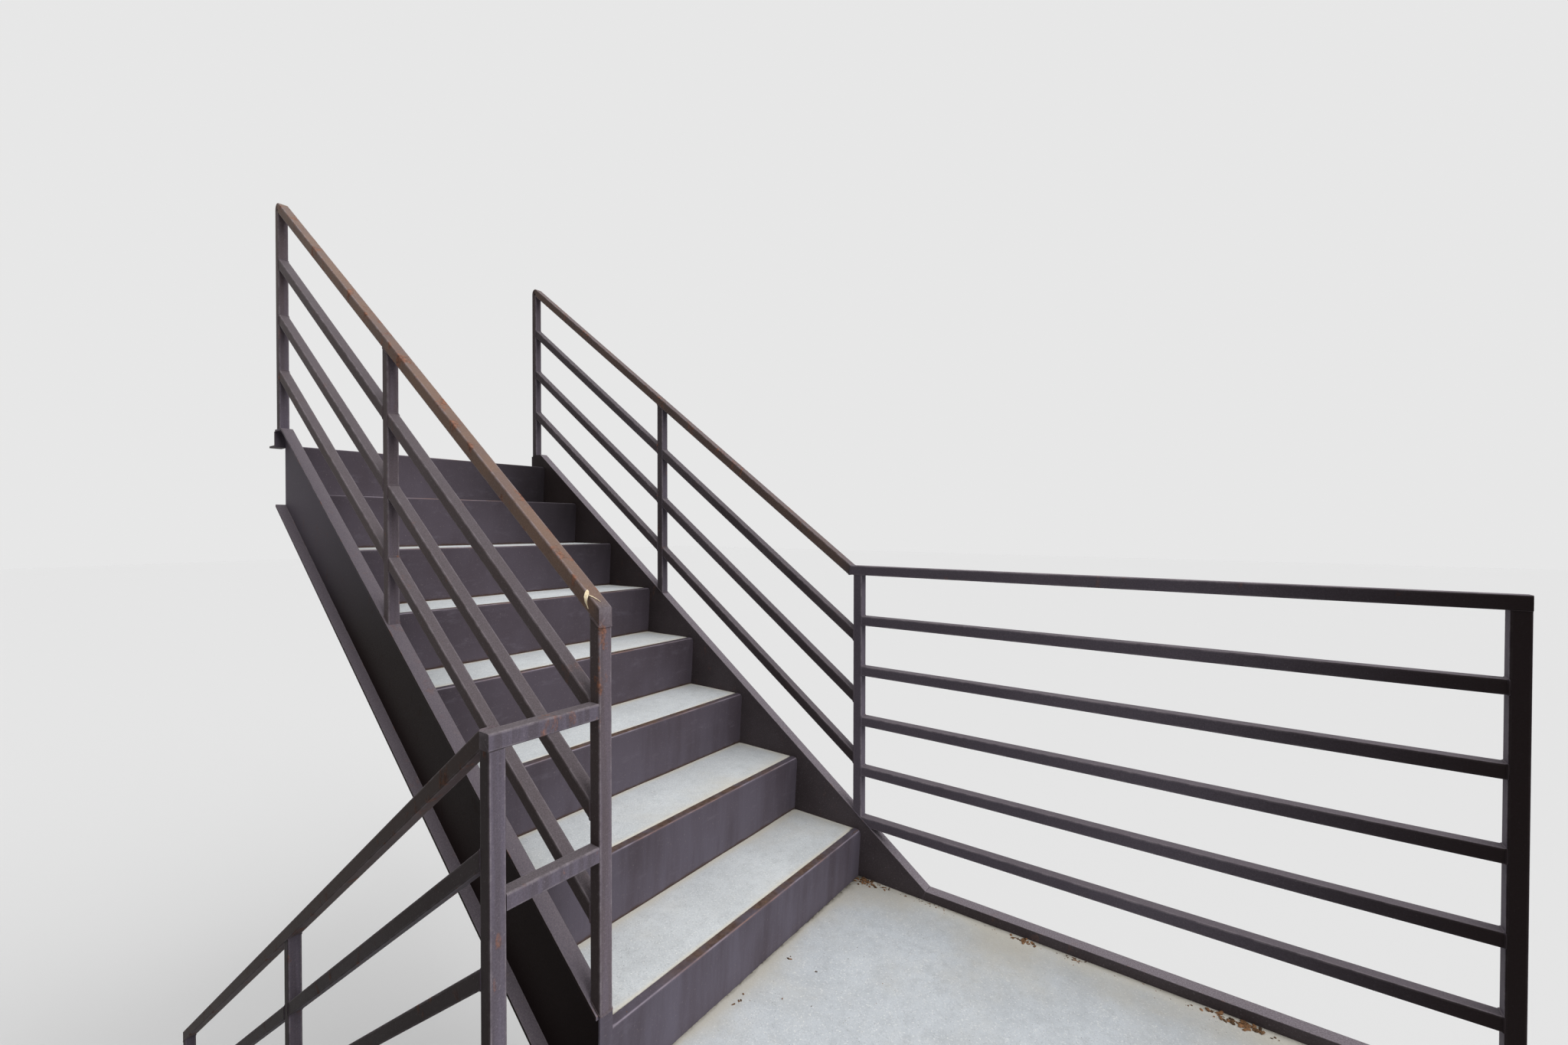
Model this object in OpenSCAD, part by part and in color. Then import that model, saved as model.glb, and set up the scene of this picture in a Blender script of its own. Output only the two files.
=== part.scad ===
// A two-flight outdoor steel stair that turns back on itself at a half landing.
// Steel channel stringers carry bent step pans filled with concrete, and square
// tube rails stand on the outward flanges. X runs along the flights with the
// landing at +X, Y runs across them with the upper flight at +Y, and Z is up.
// The origin is on the floor, below the middle of the whole stair.

/* [Steps] */
// Height from one tread to the next
riser_h = 190.5; // [180:0.5:200]
// Depth from one nosing to the next
going = 263.5; // [250:0.5:290]
// Risers in each flight
steps = 8; // [5:1:10]
// Clear width between the two stringers of a flight
flight_w = 1041.4; // [900:0.1:1200]
// Distance between the inner stringer faces of the two flights
well_w = 260.6; // [180:0.1:400]
// How far a riser plate leans out at its top
lean = 12; // [0:1:25]
// Width of the flat steel lip along a nosing
lip_w = 28; // [15:1:40]
// Depth of the bearing lip at the very top of the stair
top_lip_w = 60; // [30:1:80]
// Thickness of the concrete in a tread
fill_t = 45; // [35:1:60]
// Thickness of the bent sheet of the step pans
sheet_t = 4.8; // [3:0.1:8]
// Size of the stiffening angle under a tread
rib_leg = 25; // [15:1:40]

/* [Landing] */
// Length of the landing beyond the newel faces
landing_l = 1505; // [1100:1:1800]
// How much the first riser above the landing is lost in the slab
first_drop = 33; // [0:1:50]
// Thickness of the landing slab
slab_t = 50; // [40:1:90]
// How far the edge channels stand above the slab
curb_h = 27; // [0:1:60]
// Depth of the joists under the landing
joist_d = 100; // [75:1:150]
// Flange width of the joists
joist_flange = 45; // [30:1:60]
// Thickness of the joists
joist_t = 5; // [4:0.5:8]
// Number of joists
joists = 3; // [2:1:5]
// Flange width of the header at the front of the landing
header_flange = 60; // [40:1:80]
// Leg of the ledger angles that carry the landing pan
ledger_leg = 40; // [30:1:60]

/* [Stringers] */
// Depth of a stringer channel, square to its slope
chan_d = 280; // [254:1:305]
// Width of a channel flange
flange_w = 38.1; // [34:0.1:60]
// Thickness of a channel web
web_t = 6.4; // [5:0.1:10]
// Thickness of a channel flange
flange_t = 8; // [6:0.1:12]
// Height of the stringer edge above the line of the nosings
over_nose = 39; // [30:1:70]
// Run of the upper stringers behind their last riser, to their plumb end
end_run = 95.5; // [80:0.5:150]
// Height of the level top cut above the upper floor
cut_up = 67; // [40:1:100]
// Run of the lower stringers in front of riser 1
toe_run = 272.7; // [240:0.1:290]
// Leg of the angles that carry the pans
carrier_leg = 38; // [25:1:50]

/* [Rails] */
// Side of the square rail tube
tube = 31.75; // [25:0.05:38]
// Spacing of the rail members, square to their run
rail_pitch = 170.7; // [140:0.05:200]
// Height of the level guard above the landing
guard_h = 1056; // [1000:1:1100]
// Members of the level guard
guard_bars = 6; // [5:1:7]
// Sloping members below the handrail
slope_bars = 3; // [2:1:4]
// Height of the upper handrail above the line of the nosings
upper_rail_h = 869; // [860:1:960]
// Height of the lower handrail above the line of the nosings
lower_rail_h = 845; // [820:1:960]
// Run from riser 1 to the face of the upper middle post
upper_mid_run = 963; // [900:1:1000]
// Run from riser 1 to the face of the lower middle post
lower_mid_run = 788; // [700:1:900]
// Run from riser 1 out to the far face of the bottom newel, set in the ground
newel_out = 392; // [280:1:450]
// Height of the upper return rail above the landing
return_hi = 833; // [700:1:950]
// Height of the lower return rail above the landing
return_lo = 543; // [300:1:650]

/* [Columns] */
// Side of a column under the landing
column_w = 88.9; // [76:0.1:102]
// Wall thickness of a column
column_t = 6.4; // [4:0.1:10]
// Radius of the column corners
column_r = 10; // [4:1:15]
// Distance of the front columns behind the newel faces
column_back = 170; // [165:1:400]
// Length of a base plate along the flights
base_l = 200; // [160:1:260]
// Width of a base plate across the flights
base_w = 150; // [120:1:200]
// Thickness of a base plate and of a cap plate
base_t = 12; // [8:1:20]
// Spacing of the anchor holes along the flights
anchor_x = 150; // [110:1:200]
// Spacing of the anchor holes across the flights
anchor_y = 100; // [80:1:150]
// Diameter of an anchor hole
anchor_hole = 18; // [12:0.5:24]

/* [Top fixing] */
// Gap from the last riser to the angle across the stringer tops
cross_gap = 5.5; // [3:0.5:20]
// Height of the cross angle
cross_h = 150; // [100:1:180]
// Thickness of the cross angle and of the lugs
cross_t = 8; // [6:0.5:12]
// Spacing of its holes across the flight
cross_hole_y = 800; // [300:1:900]
// Spacing of its holes upwards
cross_hole_z = 80; // [50:1:120]
// Diameter of a fixing hole at the top
cross_hole = 18; // [12:0.5:22]
// Reach of a lug over the upper floor
lug_l = 65; // [50:1:90]
// Height of a lug
lug_h = 60; // [40:1:65]
// Diameter of the hole in a lug and in a toe flange
lug_hole = 14; // [10:0.5:20]

/* [Hidden] */
$fn = 48;
EPS = 0.01;
// How far a cutting body runs past what it cuts
PAST = 10;
// Slope of the flights, and the factor from a size square to it to an upright one
slope = riser_h / going;
upright = sqrt(1 + slope * slope);
chan_v = chan_d * upright;
flange_v = flange_t * upright;
tube_v = tube * upright;
pitch_v = rail_pitch * upright;
last_riser = steps - 1;
upper_run = last_riser * going + end_run;

// Levels above the floor
landing_z = steps * riser_h;
upper_z = landing_z - first_drop;
edge_z = landing_z + curb_h;
pan_z = landing_z - slab_t - sheet_t;
guard_z = landing_z + guard_h;

// Places along the flights: the stair is centred on the origin
riser_foot_lean = lean * (fill_t + sheet_t) / riser_h;
lower_back = last_riser * going + sheet_t + riser_foot_lean;
face_x = (lower_back + newel_out - landing_l) / 2;
end_x = face_x + landing_l;
upper_x = face_x - lean;
lower_x = face_x - lower_back;

// Places across the flights, given for the upper one
in_y = well_w / 2;
out_y = in_y + flight_w;

// The frame of a flight: u runs up the flight from the foot of riser 1, w is up
function nose(u) = riser_h + (u + lean) * slope;
function at_edge(w, below = 0) = (w + below - over_nose - riser_h) / slope - lean;
function riser_u(k, w) = (k - 1) * going - lean * (w - (k - 1) * riser_h) / riser_h;
function upper_pt(p) = [upper_x - p[0], upper_z + p[1]];
function lower_pt(p) = [lower_x + p[0], p[1]];
function on_upper(pts) = [for (p = pts) upper_pt(p)];
function on_lower(pts) = [for (p = pts) lower_pt(p)];
function rect(x0, z0, x1, z1) = [[x0, z0], [x1, z0], [x1, z1], [x0, z1]];

// Outline in X and Z, given depth between two places in Y
module prism(pts, y0, y1) {
    translate([0, max(y0, y1), 0])
        rotate([90, 0, 0])
            linear_extrude(height = abs(y1 - y0))
                polygon(pts);
}

// Channel from its outline and the outline of the space between its flanges, which
// runs on past its ends. The web's face is at y and the flanges stand to one side.
module channel(outline, between, y, side) {
    difference() {
        prism(outline, y, y + side * flange_w);
        prism(between, y + side * web_t, y + side * (flange_w + PAST));
    }
}

// Steel in a dark purple-brown paint, and pale concrete
module paint() { color("#4a4048") children(); }
module concrete() { color("#bdbcb6") children(); }

// Angle section in X and Z with its corner at p: legs run along +-u and down
function angle_outline(u, w, dir, leg, drop, t) =
    [[u, w], [u + dir * leg, w], [u + dir * leg, w - t], [u + dir * t, w - t],
     [u + dir * t, w - drop], [u, w - drop]];

// Stringer edges, seen in the frame of a flight
edge_w = edge_z - upper_z;
cut_w = steps * riser_h + cut_up;
function above_nose(u) = nose(u) + over_nose;
function under_nose(u) = above_nose(u) - chan_v;

// Upper stringer from its foot, listed upwards, to its plumb end at the upper floor
module upper_stringer(foot, y, side) {
    u0 = -guard_h;
    u1 = upper_run + PAST;
    channel(
        on_upper(concat(foot, [[at_edge(cut_w), cut_w], [upper_run, cut_w],
            [upper_run, under_nose(upper_run)]])),
        on_upper([[u0, under_nose(u0) + flange_v], [u0, above_nose(u0) - flange_v],
            [at_edge(cut_w - flange_t, flange_v), cut_w - flange_t],
            [u1, cut_w - flange_t], [u1, under_nose(u1) + flange_v]]),
        y, side);
}

// Angles on the tread side of both webs of a flight, one under each pan end
module carriers(upper) {
    for (k = [1 : last_riser], side = [-1, 1]) {
        y = side > 0 ? out_y : in_y;
        w = pan_level(k + 1);
        u0 = riser_u(k, w) + sheet_t;
        u1 = riser_u(k + 1, w);
        leg = rect(u0, w - web_t, u1, w);
        web = rect(u0, w - carrier_leg, u1, w);
        prism(upper ? on_upper(leg) : on_lower(leg), y, y - side * carrier_leg);
        prism(upper ? on_upper(web) : on_lower(web), y, y - side * web_t);
    }
}

module upper_carrier_angles() { paint() carriers(true); }
module lower_carrier_angles() { paint() mirror([0, 1, 0]) carriers(false); }

// The wall side stringer turns level where it meets the landing's edge channel
module upper_stringer_wall_side() {
    low_w = edge_w - chan_d;
    paint() upper_stringer([[at_edge(low_w, chan_v), low_w], [at_edge(edge_w), edge_w]],
        out_y, 1);
}

// The well side stringer ends plumb against the header, and above it behind the
// plate that carries riser 1 on across the end of the channel
closer_u = sheet_t - lean;
module upper_stringer_well_side() {
    paint() upper_stringer([[-lean, under_nose(-lean)], [-lean, riser_1_foot],
        [riser_u(1, riser_1_foot) + sheet_t, riser_1_foot], [closer_u, riser_h],
        [closer_u, above_nose(closer_u)]], in_y, -1);
}

// Lower stringer from its level foot on the floor to a given top end
module lower_stringer(top_end, low_end, y, side) {
    u0 = -toe_run - PAST;
    u1 = max(top_end[0], low_end[0]) + PAST;
    difference() {
        channel(
            on_lower([[-toe_run, 0], [-toe_run, above_nose(-toe_run)], top_end, low_end,
                [at_edge(0, chan_v), 0]]),
            on_lower([[u0, flange_t], [u0, above_nose(u0) - flange_v],
                [u1, above_nose(u1) - flange_v], [u1, under_nose(u1) + flange_v],
                [at_edge(flange_t, chan_v - flange_v), flange_t]]),
            y, side);
        for (u = [-lug_l, -lug_l - anchor_x])
            translate([lower_x + u, y + side * (flange_w + web_t) / 2, -EPS])
                cylinder(d = lug_hole, h = flange_t + 2 * EPS);
    }
}

// The well side one ends plumb against the header
module lower_stringer_well_side() {
    u = lower_back;
    paint() mirror([0, 1, 0])
        lower_stringer([u, above_nose(u)], [u, under_nose(u)], in_y, -1);
}

// The outer one turns level into the landing's edge channel
module lower_stringer_outer_side() {
    low = edge_z - chan_d;
    paint() mirror([0, 1, 0])
        lower_stringer([at_edge(edge_z), edge_z], [at_edge(low, chan_v), low], out_y, 1);
}

// Each riser is a leaning plate whose top bends back as a flat lip
function riser_outline(k, w0, lip) =
    let (w = k * riser_h)
    [[riser_u(k, w0), w0], [riser_u(k, w), w],
     [riser_u(k, w) + lip, w], [riser_u(k, w) + lip, w - sheet_t],
     [riser_u(k, w - sheet_t) + sheet_t, w - sheet_t], [riser_u(k, w0) + sheet_t, w0]];

// Underside of the pan that ends at riser k
function pan_level(k) = (k - 1) * riser_h - fill_t - sheet_t;

riser_1_foot = pan_z - upper_z;
module upper_risers() {
    top = above_nose(-lean);
    paint() {
        for (k = [1 : steps]) {
            foot = k == 1 ? riser_1_foot : pan_level(k);
            lip = k == steps ? top_lip_w : lip_w;
            prism(on_upper(riser_outline(k, foot, lip)), in_y, out_y);
        }
        prism(on_upper([[riser_u(1, riser_1_foot), riser_1_foot], [-lean, riser_h],
            [-lean, top], [closer_u, top], [closer_u, riser_h],
            [riser_u(1, riser_1_foot) + sheet_t, riser_1_foot]]), in_y - tube, in_y);
    }
}

module lower_risers() {
    paint() for (k = [1 : steps])
        prism(on_lower(riser_outline(k, max(0, pan_level(k)), lip_w)), -in_y, -out_y);
}

// Pan bottom between two risers, with a stiffening angle across its underside
function pan_outline(k) =
    let (low = pan_level(k), top = low + sheet_t)
    [[riser_u(k - 1, low) + sheet_t, low], [riser_u(k - 1, top) + sheet_t, top],
     [riser_u(k, top), top], [riser_u(k, low), low]];
function rib_outline(k) =
    angle_outline((k - 1.5) * going, pan_level(k) + EPS, 1, rib_leg, rib_leg, web_t / 2);

module upper_tread_pans() {
    paint() for (k = [2 : steps]) {
        prism(on_upper(pan_outline(k)), in_y, out_y);
        prism(on_upper(rib_outline(k)), in_y + carrier_leg, out_y - carrier_leg);
    }
}

module lower_tread_pans() {
    paint() mirror([0, 1, 0]) for (k = [2 : steps]) {
        prism(on_lower(pan_outline(k)), in_y, out_y);
        prism(on_lower(rib_outline(k)), in_y + carrier_leg, out_y - carrier_leg);
    }
}

// Concrete of tread k: it fills the pan and runs under the lip
function tread_outline(k) =
    let (w = k * riser_h, low = w - fill_t, lip_end = riser_u(k, w) + lip_w)
    [[riser_u(k, low) + sheet_t, low], [riser_u(k + 1, low), low], [k * going, w],
     [lip_end, w], [lip_end, w - sheet_t],
     [riser_u(k, w - sheet_t) + sheet_t, w - sheet_t]];

module upper_tread(k) { concrete() prism(on_upper(tread_outline(k)), in_y, out_y); }
module lower_tread(k) { concrete() prism(on_lower(tread_outline(k)), -in_y, -out_y); }

// Level edge channel with a mitred front end and a ledger angle inside
module landing_edge(top_x, low_x) {
    low = edge_z - chan_d;
    channel(
        [[top_x, edge_z], [end_x, edge_z], [end_x, low], [low_x, low]],
        rect(min(top_x, low_x) - PAST, low + flange_t, end_x + PAST, edge_z - flange_t),
        out_y, 1);
    x0 = face_x + header_flange;
    x1 = end_x - flange_w;
    prism(rect(x0, pan_z - web_t, x1, pan_z), out_y, out_y - ledger_leg);
    prism(rect(x0, pan_z - ledger_leg, x1, pan_z), out_y, out_y - web_t);
}

module landing_edge_wall_side() {
    paint() union() landing_edge(upper_x - at_edge(edge_w),
        upper_x - at_edge(edge_w - chan_d, chan_v));
}

module landing_edge_outer_side() {
    paint() mirror([0, 1, 0]) union() landing_edge(lower_x + at_edge(edge_z),
        lower_x + at_edge(edge_z - chan_d, chan_v));
}

// Channel across the front of the landing
module landing_header() {
    low = edge_z - chan_d;
    paint() union() {
        prism(rect(face_x, low, face_x + web_t, pan_z), -out_y, out_y);
        for (z = [low, pan_z - flange_t])
            prism(rect(face_x, z, face_x + header_flange, z + flange_t), -out_y, out_y);
    }
}

// Channel along the building, its web outwards and level with the slab
module landing_end_channel() {
    low = edge_z - chan_d;
    paint() union() {
        prism(rect(end_x - web_t, low, end_x, landing_z), -out_y, out_y);
        for (z = [low, pan_z - flange_t])
            prism(rect(end_x - flange_w, z, end_x, z + flange_t), -out_y, out_y);
    }
}

module landing_joists() {
    gap = landing_l / (joists + 1);
    paint() for (i = [1 : joists]) {
        x = face_x + i * gap;
        prism(rect(x, pan_z - joist_d, x + joist_t, pan_z), -out_y + web_t, out_y - web_t);
        for (z = [pan_z - joist_d, pan_z - joist_t])
            prism(rect(x, z, x + joist_flange, z + joist_t),
                -out_y + ledger_leg, out_y - ledger_leg);
    }
}

// Front edge of the landing floor: behind riser 1, at the well, behind the lower lip
module landing_plan(front_upper, front_well, front_lower, back_x) {
    polygon([[front_upper, out_y], [front_upper, in_y], [front_well, in_y],
        [front_well, -in_y], [front_lower, -in_y], [front_lower, -out_y],
        [back_x, -out_y], [back_x, out_y]]);
}

// It reaches riser 1 of the upper flight, the kick plate and the lower top riser
riser_foot = upper_x + lean * first_drop / riser_h;
module landing_pan() {
    paint() translate([0, 0, pan_z])
        linear_extrude(height = sheet_t)
            landing_plan(riser_foot, face_x + sheet_t, face_x, end_x - web_t);
}

module landing_slab() {
    concrete() translate([0, 0, landing_z - slab_t])
        linear_extrude(height = slab_t)
            landing_plan(riser_foot, face_x + sheet_t,
                lower_x + riser_u(steps, landing_z) + lip_w, end_x - web_t);
}

// Column of square tube with a cap plate and an anchored base plate
module column(x, mirrored) {
    cap_z = edge_z - chan_d;
    y = out_y + flange_w - column_w / 2;
    base_y = out_y + flange_w - base_w / 2;
    paint() mirror([0, mirrored ? 1 : 0, 0]) difference() {
        union() {
            translate([x, y, base_t - EPS])
                linear_extrude(height = cap_z - 2 * base_t + 2 * EPS)
                    difference() {
                        column_section(column_w, column_r);
                        column_section(column_w - 2 * column_t, column_r - column_t);
                    }
            translate([x - base_l / 2, base_y - base_w / 2, 0])
                cube([base_l, base_w, base_t]);
            translate([x - column_w / 2, y - column_w / 2, cap_z - base_t])
                cube([column_w, column_w, base_t]);
        }
        for (i = [-1, 1], j = [-1, 1])
            translate([x + i * anchor_x / 2, base_y + j * anchor_y / 2, -EPS])
                cylinder(d = anchor_hole, h = base_t + 2 * EPS);
    }
}

// Square with round corners, from two bars and four discs
module column_section(w, r) {
    square([w - 2 * r, w], center = true);
    square([w, w - 2 * r], center = true);
    for (i = [-1, 1], j = [-1, 1])
        translate([i * (w / 2 - r), j * (w / 2 - r)])
            circle(r = r);
}

front_column_x = face_x + column_back + column_w / 2;
back_column_x = end_x - base_l / 2;
module column_wall_front() { column(front_column_x, false); }
module column_wall_back() { column(back_column_x, false); }
module column_outer_front() { column(front_column_x, true); }
module column_outer_back() { column(back_column_x, true); }

// Sloping bar with plumb ends, its top edge this far above the line of the nosings
function bar(u0, u1, above) =
    [[u0, nose(u0) + above], [u1, nose(u1) + above],
     [u1, nose(u1) + above - tube_v], [u0, nose(u0) + above - tube_v]];
// Post from the stringer's edge to the underside of the handrail
function post(u, rail_h) =
    [[u, nose(u) + over_nose], [u + tube, nose(u + tube) + over_nose],
     [u + tube, nose(u + tube) + rail_h - tube_v], [u, nose(u) + rail_h - tube_v]];

// Upper end post, on the level cut of its stringer
top_post =
    [[upper_run - tube, cut_w], [upper_run, cut_w],
     [upper_run, nose(upper_run) + upper_rail_h - tube_v],
     [upper_run - tube, nose(upper_run - tube) + upper_rail_h - tube_v]];

newel_u = -lean;
upper_top_u = upper_run - tube;
lower_newel_u = lower_back - tube;
lower_low_u = -newel_out;
bottom_newel =
    [[lower_low_u, 0], [lower_low_u + tube, 0],
     [lower_low_u + tube, nose(lower_low_u + tube) + lower_rail_h - tube_v],
     [lower_low_u, nose(lower_low_u) + lower_rail_h - tube_v]];
guard_w = guard_z - upper_z;

// Sloping bars of the upper flight between its posts
module upper_bars(y) {
    for (i = [1 : slope_bars]) {
        h = upper_rail_h - i * pitch_v;
        prism(on_upper(bar(newel_u + tube, upper_mid_run, h)), y, y + tube);
        prism(on_upper(bar(upper_mid_run + tube, upper_top_u, h)), y, y + tube);
    }
    prism(on_upper(post(upper_mid_run, upper_rail_h)), y, y + tube);
    prism(on_upper(top_post), y, y + tube);
}

// Foot of the wall side handrail, mitred to the level guard
function rail_u(w, below = 0) = (w + below - upper_rail_h - riser_h) / slope - lean;

module upper_rail_wall_side() {
    kink = [rail_u(guard_w), guard_w];
    kink_in = [rail_u(guard_w - tube, tube_v), guard_w - tube];
    top = nose(upper_run) + upper_rail_h;
    paint() union() {
        upper_bars(out_y);
        prism(on_upper([kink, [upper_run, top], [upper_run, top - tube_v], kink_in]),
            out_y, out_y + tube);
    }
}

module upper_rail_well_side() {
    y = in_y - tube;
    paint() union() {
        upper_bars(y);
        prism(on_upper(bar(newel_u, upper_run, upper_rail_h)), y, in_y);
        prism(on_upper(post(newel_u, upper_rail_h)), y, in_y);
    }
}

// Level bars of a guard, with the posts at its two ends
module guard(foot_outline, first_bars, y) {
    x0 = face_x;
    x1 = end_x - tube;
    for (i = [1 : guard_bars - 2])
        prism(rect(x0, guard_z - i * rail_pitch - tube, x1, guard_z - i * rail_pitch),
            y, y + tube);
    prism(first_bars, y, y + tube);
    prism(foot_outline, y, y + tube);
    prism(rect(x1, edge_z, end_x, guard_z - tube), y, y + tube);
}

module landing_rail_wall_side() {
    foot_z = guard_z - (guard_bars - 1) * rail_pitch;
    w = foot_z - upper_z;
    kink_x = upper_x - rail_u(guard_w);
    kink_in_x = upper_x - rail_u(guard_w - tube, tube_v);
    foot = on_upper([[newel_u, nose(newel_u) + over_nose],
        [newel_u + tube, nose(newel_u + tube) + over_nose],
        [newel_u + tube, guard_w - tube], [newel_u, guard_w - tube]]);
    lowest = [[upper_x - at_edge(w), foot_z], [end_x - tube, foot_z],
        [end_x - tube, foot_z - tube], [upper_x - at_edge(w - tube), foot_z - tube]];
    paint() union() {
        guard(foot, lowest, out_y);
        prism([[kink_x, guard_z], [end_x, guard_z], [end_x, guard_z - tube],
            [kink_in_x, guard_z - tube]], out_y, out_y + tube);
    }
}

module landing_rail_outer_side() {
    foot_z = guard_z - (guard_bars - 1) * rail_pitch;
    x0 = face_x - tube;
    paint() mirror([0, 1, 0]) union() {
        guard(rect(x0, edge_z, face_x, guard_z - tube),
            rect(face_x, foot_z - tube, end_x - tube, foot_z), out_y);
        prism(rect(x0, guard_z - tube, end_x, guard_z), out_y, out_y + tube);
    }
}

function lower_edge_z(x) = nose(x - lower_x) + over_nose;

// Two level bars across the well, the upper one over the lower newel, and a
// kick plate at the edge of the landing between the newels
module well_guard() {
    hi = landing_z + return_hi;
    lo = landing_z + return_lo;
    x0 = face_x - tube;
    paint() {
        prism(rect(x0, hi - tube, face_x, hi), -in_y, in_y - tube);
        prism(rect(x0, lo - tube, face_x, lo), -in_y + tube, in_y - tube);
        prism(rect(face_x, pan_z, face_x + sheet_t, edge_z), -in_y, in_y);
    }
}

// Sloping rail of the lower flight below its top newel
module lower_rail(y, top_u) {
    for (i = [1 : slope_bars]) {
        h = lower_rail_h - i * pitch_v;
        prism(on_lower(bar(lower_low_u + tube, lower_mid_run, h)), y, y + tube);
        prism(on_lower(bar(lower_mid_run + tube, top_u, h)), y, y + tube);
    }
    prism(on_lower(post(lower_mid_run, lower_rail_h)), y, y + tube);
    prism(on_lower(bottom_newel), y, y + tube);
    prism(on_lower(bar(lower_low_u, top_u, lower_rail_h)), y, y + tube);
}

module lower_rail_well_side() {
    newel_top = landing_z + return_hi - tube;
    x0 = lower_x + lower_newel_u;
    newel = [[x0, lower_edge_z(x0)], [face_x, lower_edge_z(face_x)],
        [face_x, newel_top], [x0, newel_top]];
    paint() mirror([0, 1, 0]) union() {
        lower_rail(in_y - tube, lower_newel_u);
        prism(newel, in_y - tube, in_y);
    }
}

module lower_rail_outer_side() {
    paint() mirror([0, 1, 0]) union() lower_rail(out_y, lower_newel_u);
}

// Angle across the stringer tops, with four holes towards the building
module upper_cross_angle() {
    w = steps * riser_h - sheet_t;
    hole_z = upper_z + w - cross_h / 2;
    x = upper_x - upper_run;
    paint() difference() {
        prism(on_upper(angle_outline(upper_run, w, -1, end_run - cross_gap, cross_h, cross_t)),
            in_y, out_y);
        for (i = [-1, 1], j = [-1, 1])
            translate([x - EPS, (in_y + out_y + i * cross_hole_y) / 2,
                    hole_z + j * cross_hole_z / 2])
                rotate([0, 90, 0])
                    cylinder(d = cross_hole, h = cross_t + 2 * EPS);
    }
}

// Angle lug on a stringer's end, drilled to bolt down on the upper floor
module upper_lug(y0, y1) {
    w = steps * riser_h;
    outline = [[upper_run, w], [upper_run + lug_l, w], [upper_run + lug_l, w + cross_t],
        [upper_run + cross_t, w + cross_t], [upper_run + cross_t, w + lug_h],
        [upper_run, w + lug_h]];
    paint() difference() {
        prism(on_upper(outline), y0, y1);
        translate([upper_x - upper_run - (lug_l + cross_t) / 2, (y0 + y1) / 2,
                upper_z + w - EPS])
            cylinder(d = lug_hole, h = cross_t + 2 * EPS);
    }
}
module upper_lug_wall_side() { upper_lug(out_y, out_y + flange_w); }
module upper_lug_well_side() { upper_lug(in_y - flange_w, in_y); }

upper_stringer_wall_side();
upper_stringer_well_side();
lower_stringer_well_side();
lower_stringer_outer_side();
upper_carrier_angles();
upper_risers();
upper_tread_pans();
lower_carrier_angles();
lower_risers();
lower_tread_pans();
for (k = [1 : last_riser]) {
    upper_tread(k);
    lower_tread(k);
}
landing_edge_wall_side();
landing_edge_outer_side();
landing_header();
landing_end_channel();
landing_joists();
landing_pan();
landing_slab();
column_wall_front();
column_wall_back();
column_outer_front();
column_outer_back();
upper_rail_wall_side();
upper_rail_well_side();
landing_rail_wall_side();
well_guard();
lower_rail_well_side();
lower_rail_outer_side();
landing_rail_outer_side();
upper_cross_angle();
upper_lug_wall_side();
upper_lug_well_side();
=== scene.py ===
import bpy
import numpy as np
from mathutils import Matrix, Vector


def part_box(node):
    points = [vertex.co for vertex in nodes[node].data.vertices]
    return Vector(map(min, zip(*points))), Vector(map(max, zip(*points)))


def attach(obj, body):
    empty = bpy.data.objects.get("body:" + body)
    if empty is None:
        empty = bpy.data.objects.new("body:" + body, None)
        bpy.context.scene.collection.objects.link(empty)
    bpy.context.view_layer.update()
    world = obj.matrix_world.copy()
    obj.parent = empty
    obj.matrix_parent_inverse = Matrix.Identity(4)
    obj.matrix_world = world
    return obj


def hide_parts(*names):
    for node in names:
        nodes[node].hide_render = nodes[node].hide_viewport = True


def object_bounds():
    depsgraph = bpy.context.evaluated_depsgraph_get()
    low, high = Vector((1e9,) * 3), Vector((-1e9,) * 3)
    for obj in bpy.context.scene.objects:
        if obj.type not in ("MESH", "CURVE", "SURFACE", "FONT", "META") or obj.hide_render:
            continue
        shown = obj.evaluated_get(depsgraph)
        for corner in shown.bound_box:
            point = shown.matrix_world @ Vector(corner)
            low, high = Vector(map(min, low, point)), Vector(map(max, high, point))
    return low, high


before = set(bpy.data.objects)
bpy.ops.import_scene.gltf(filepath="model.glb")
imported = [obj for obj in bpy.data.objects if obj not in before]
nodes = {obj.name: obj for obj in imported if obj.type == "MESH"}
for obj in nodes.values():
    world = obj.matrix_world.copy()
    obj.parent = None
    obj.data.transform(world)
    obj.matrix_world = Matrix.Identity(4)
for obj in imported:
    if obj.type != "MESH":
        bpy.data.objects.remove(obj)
cad_box = [[float(v) for v in corner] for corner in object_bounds()]


# Channels and angles.
# Stringers, edge channels, header, joists, carrier angles and pans: rolled and bent
# steel, welded in the shop and sprayed in a dark purple-brown paint that has chalked,
# gathered dust on its upper faces and started to rust along its edges.

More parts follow.
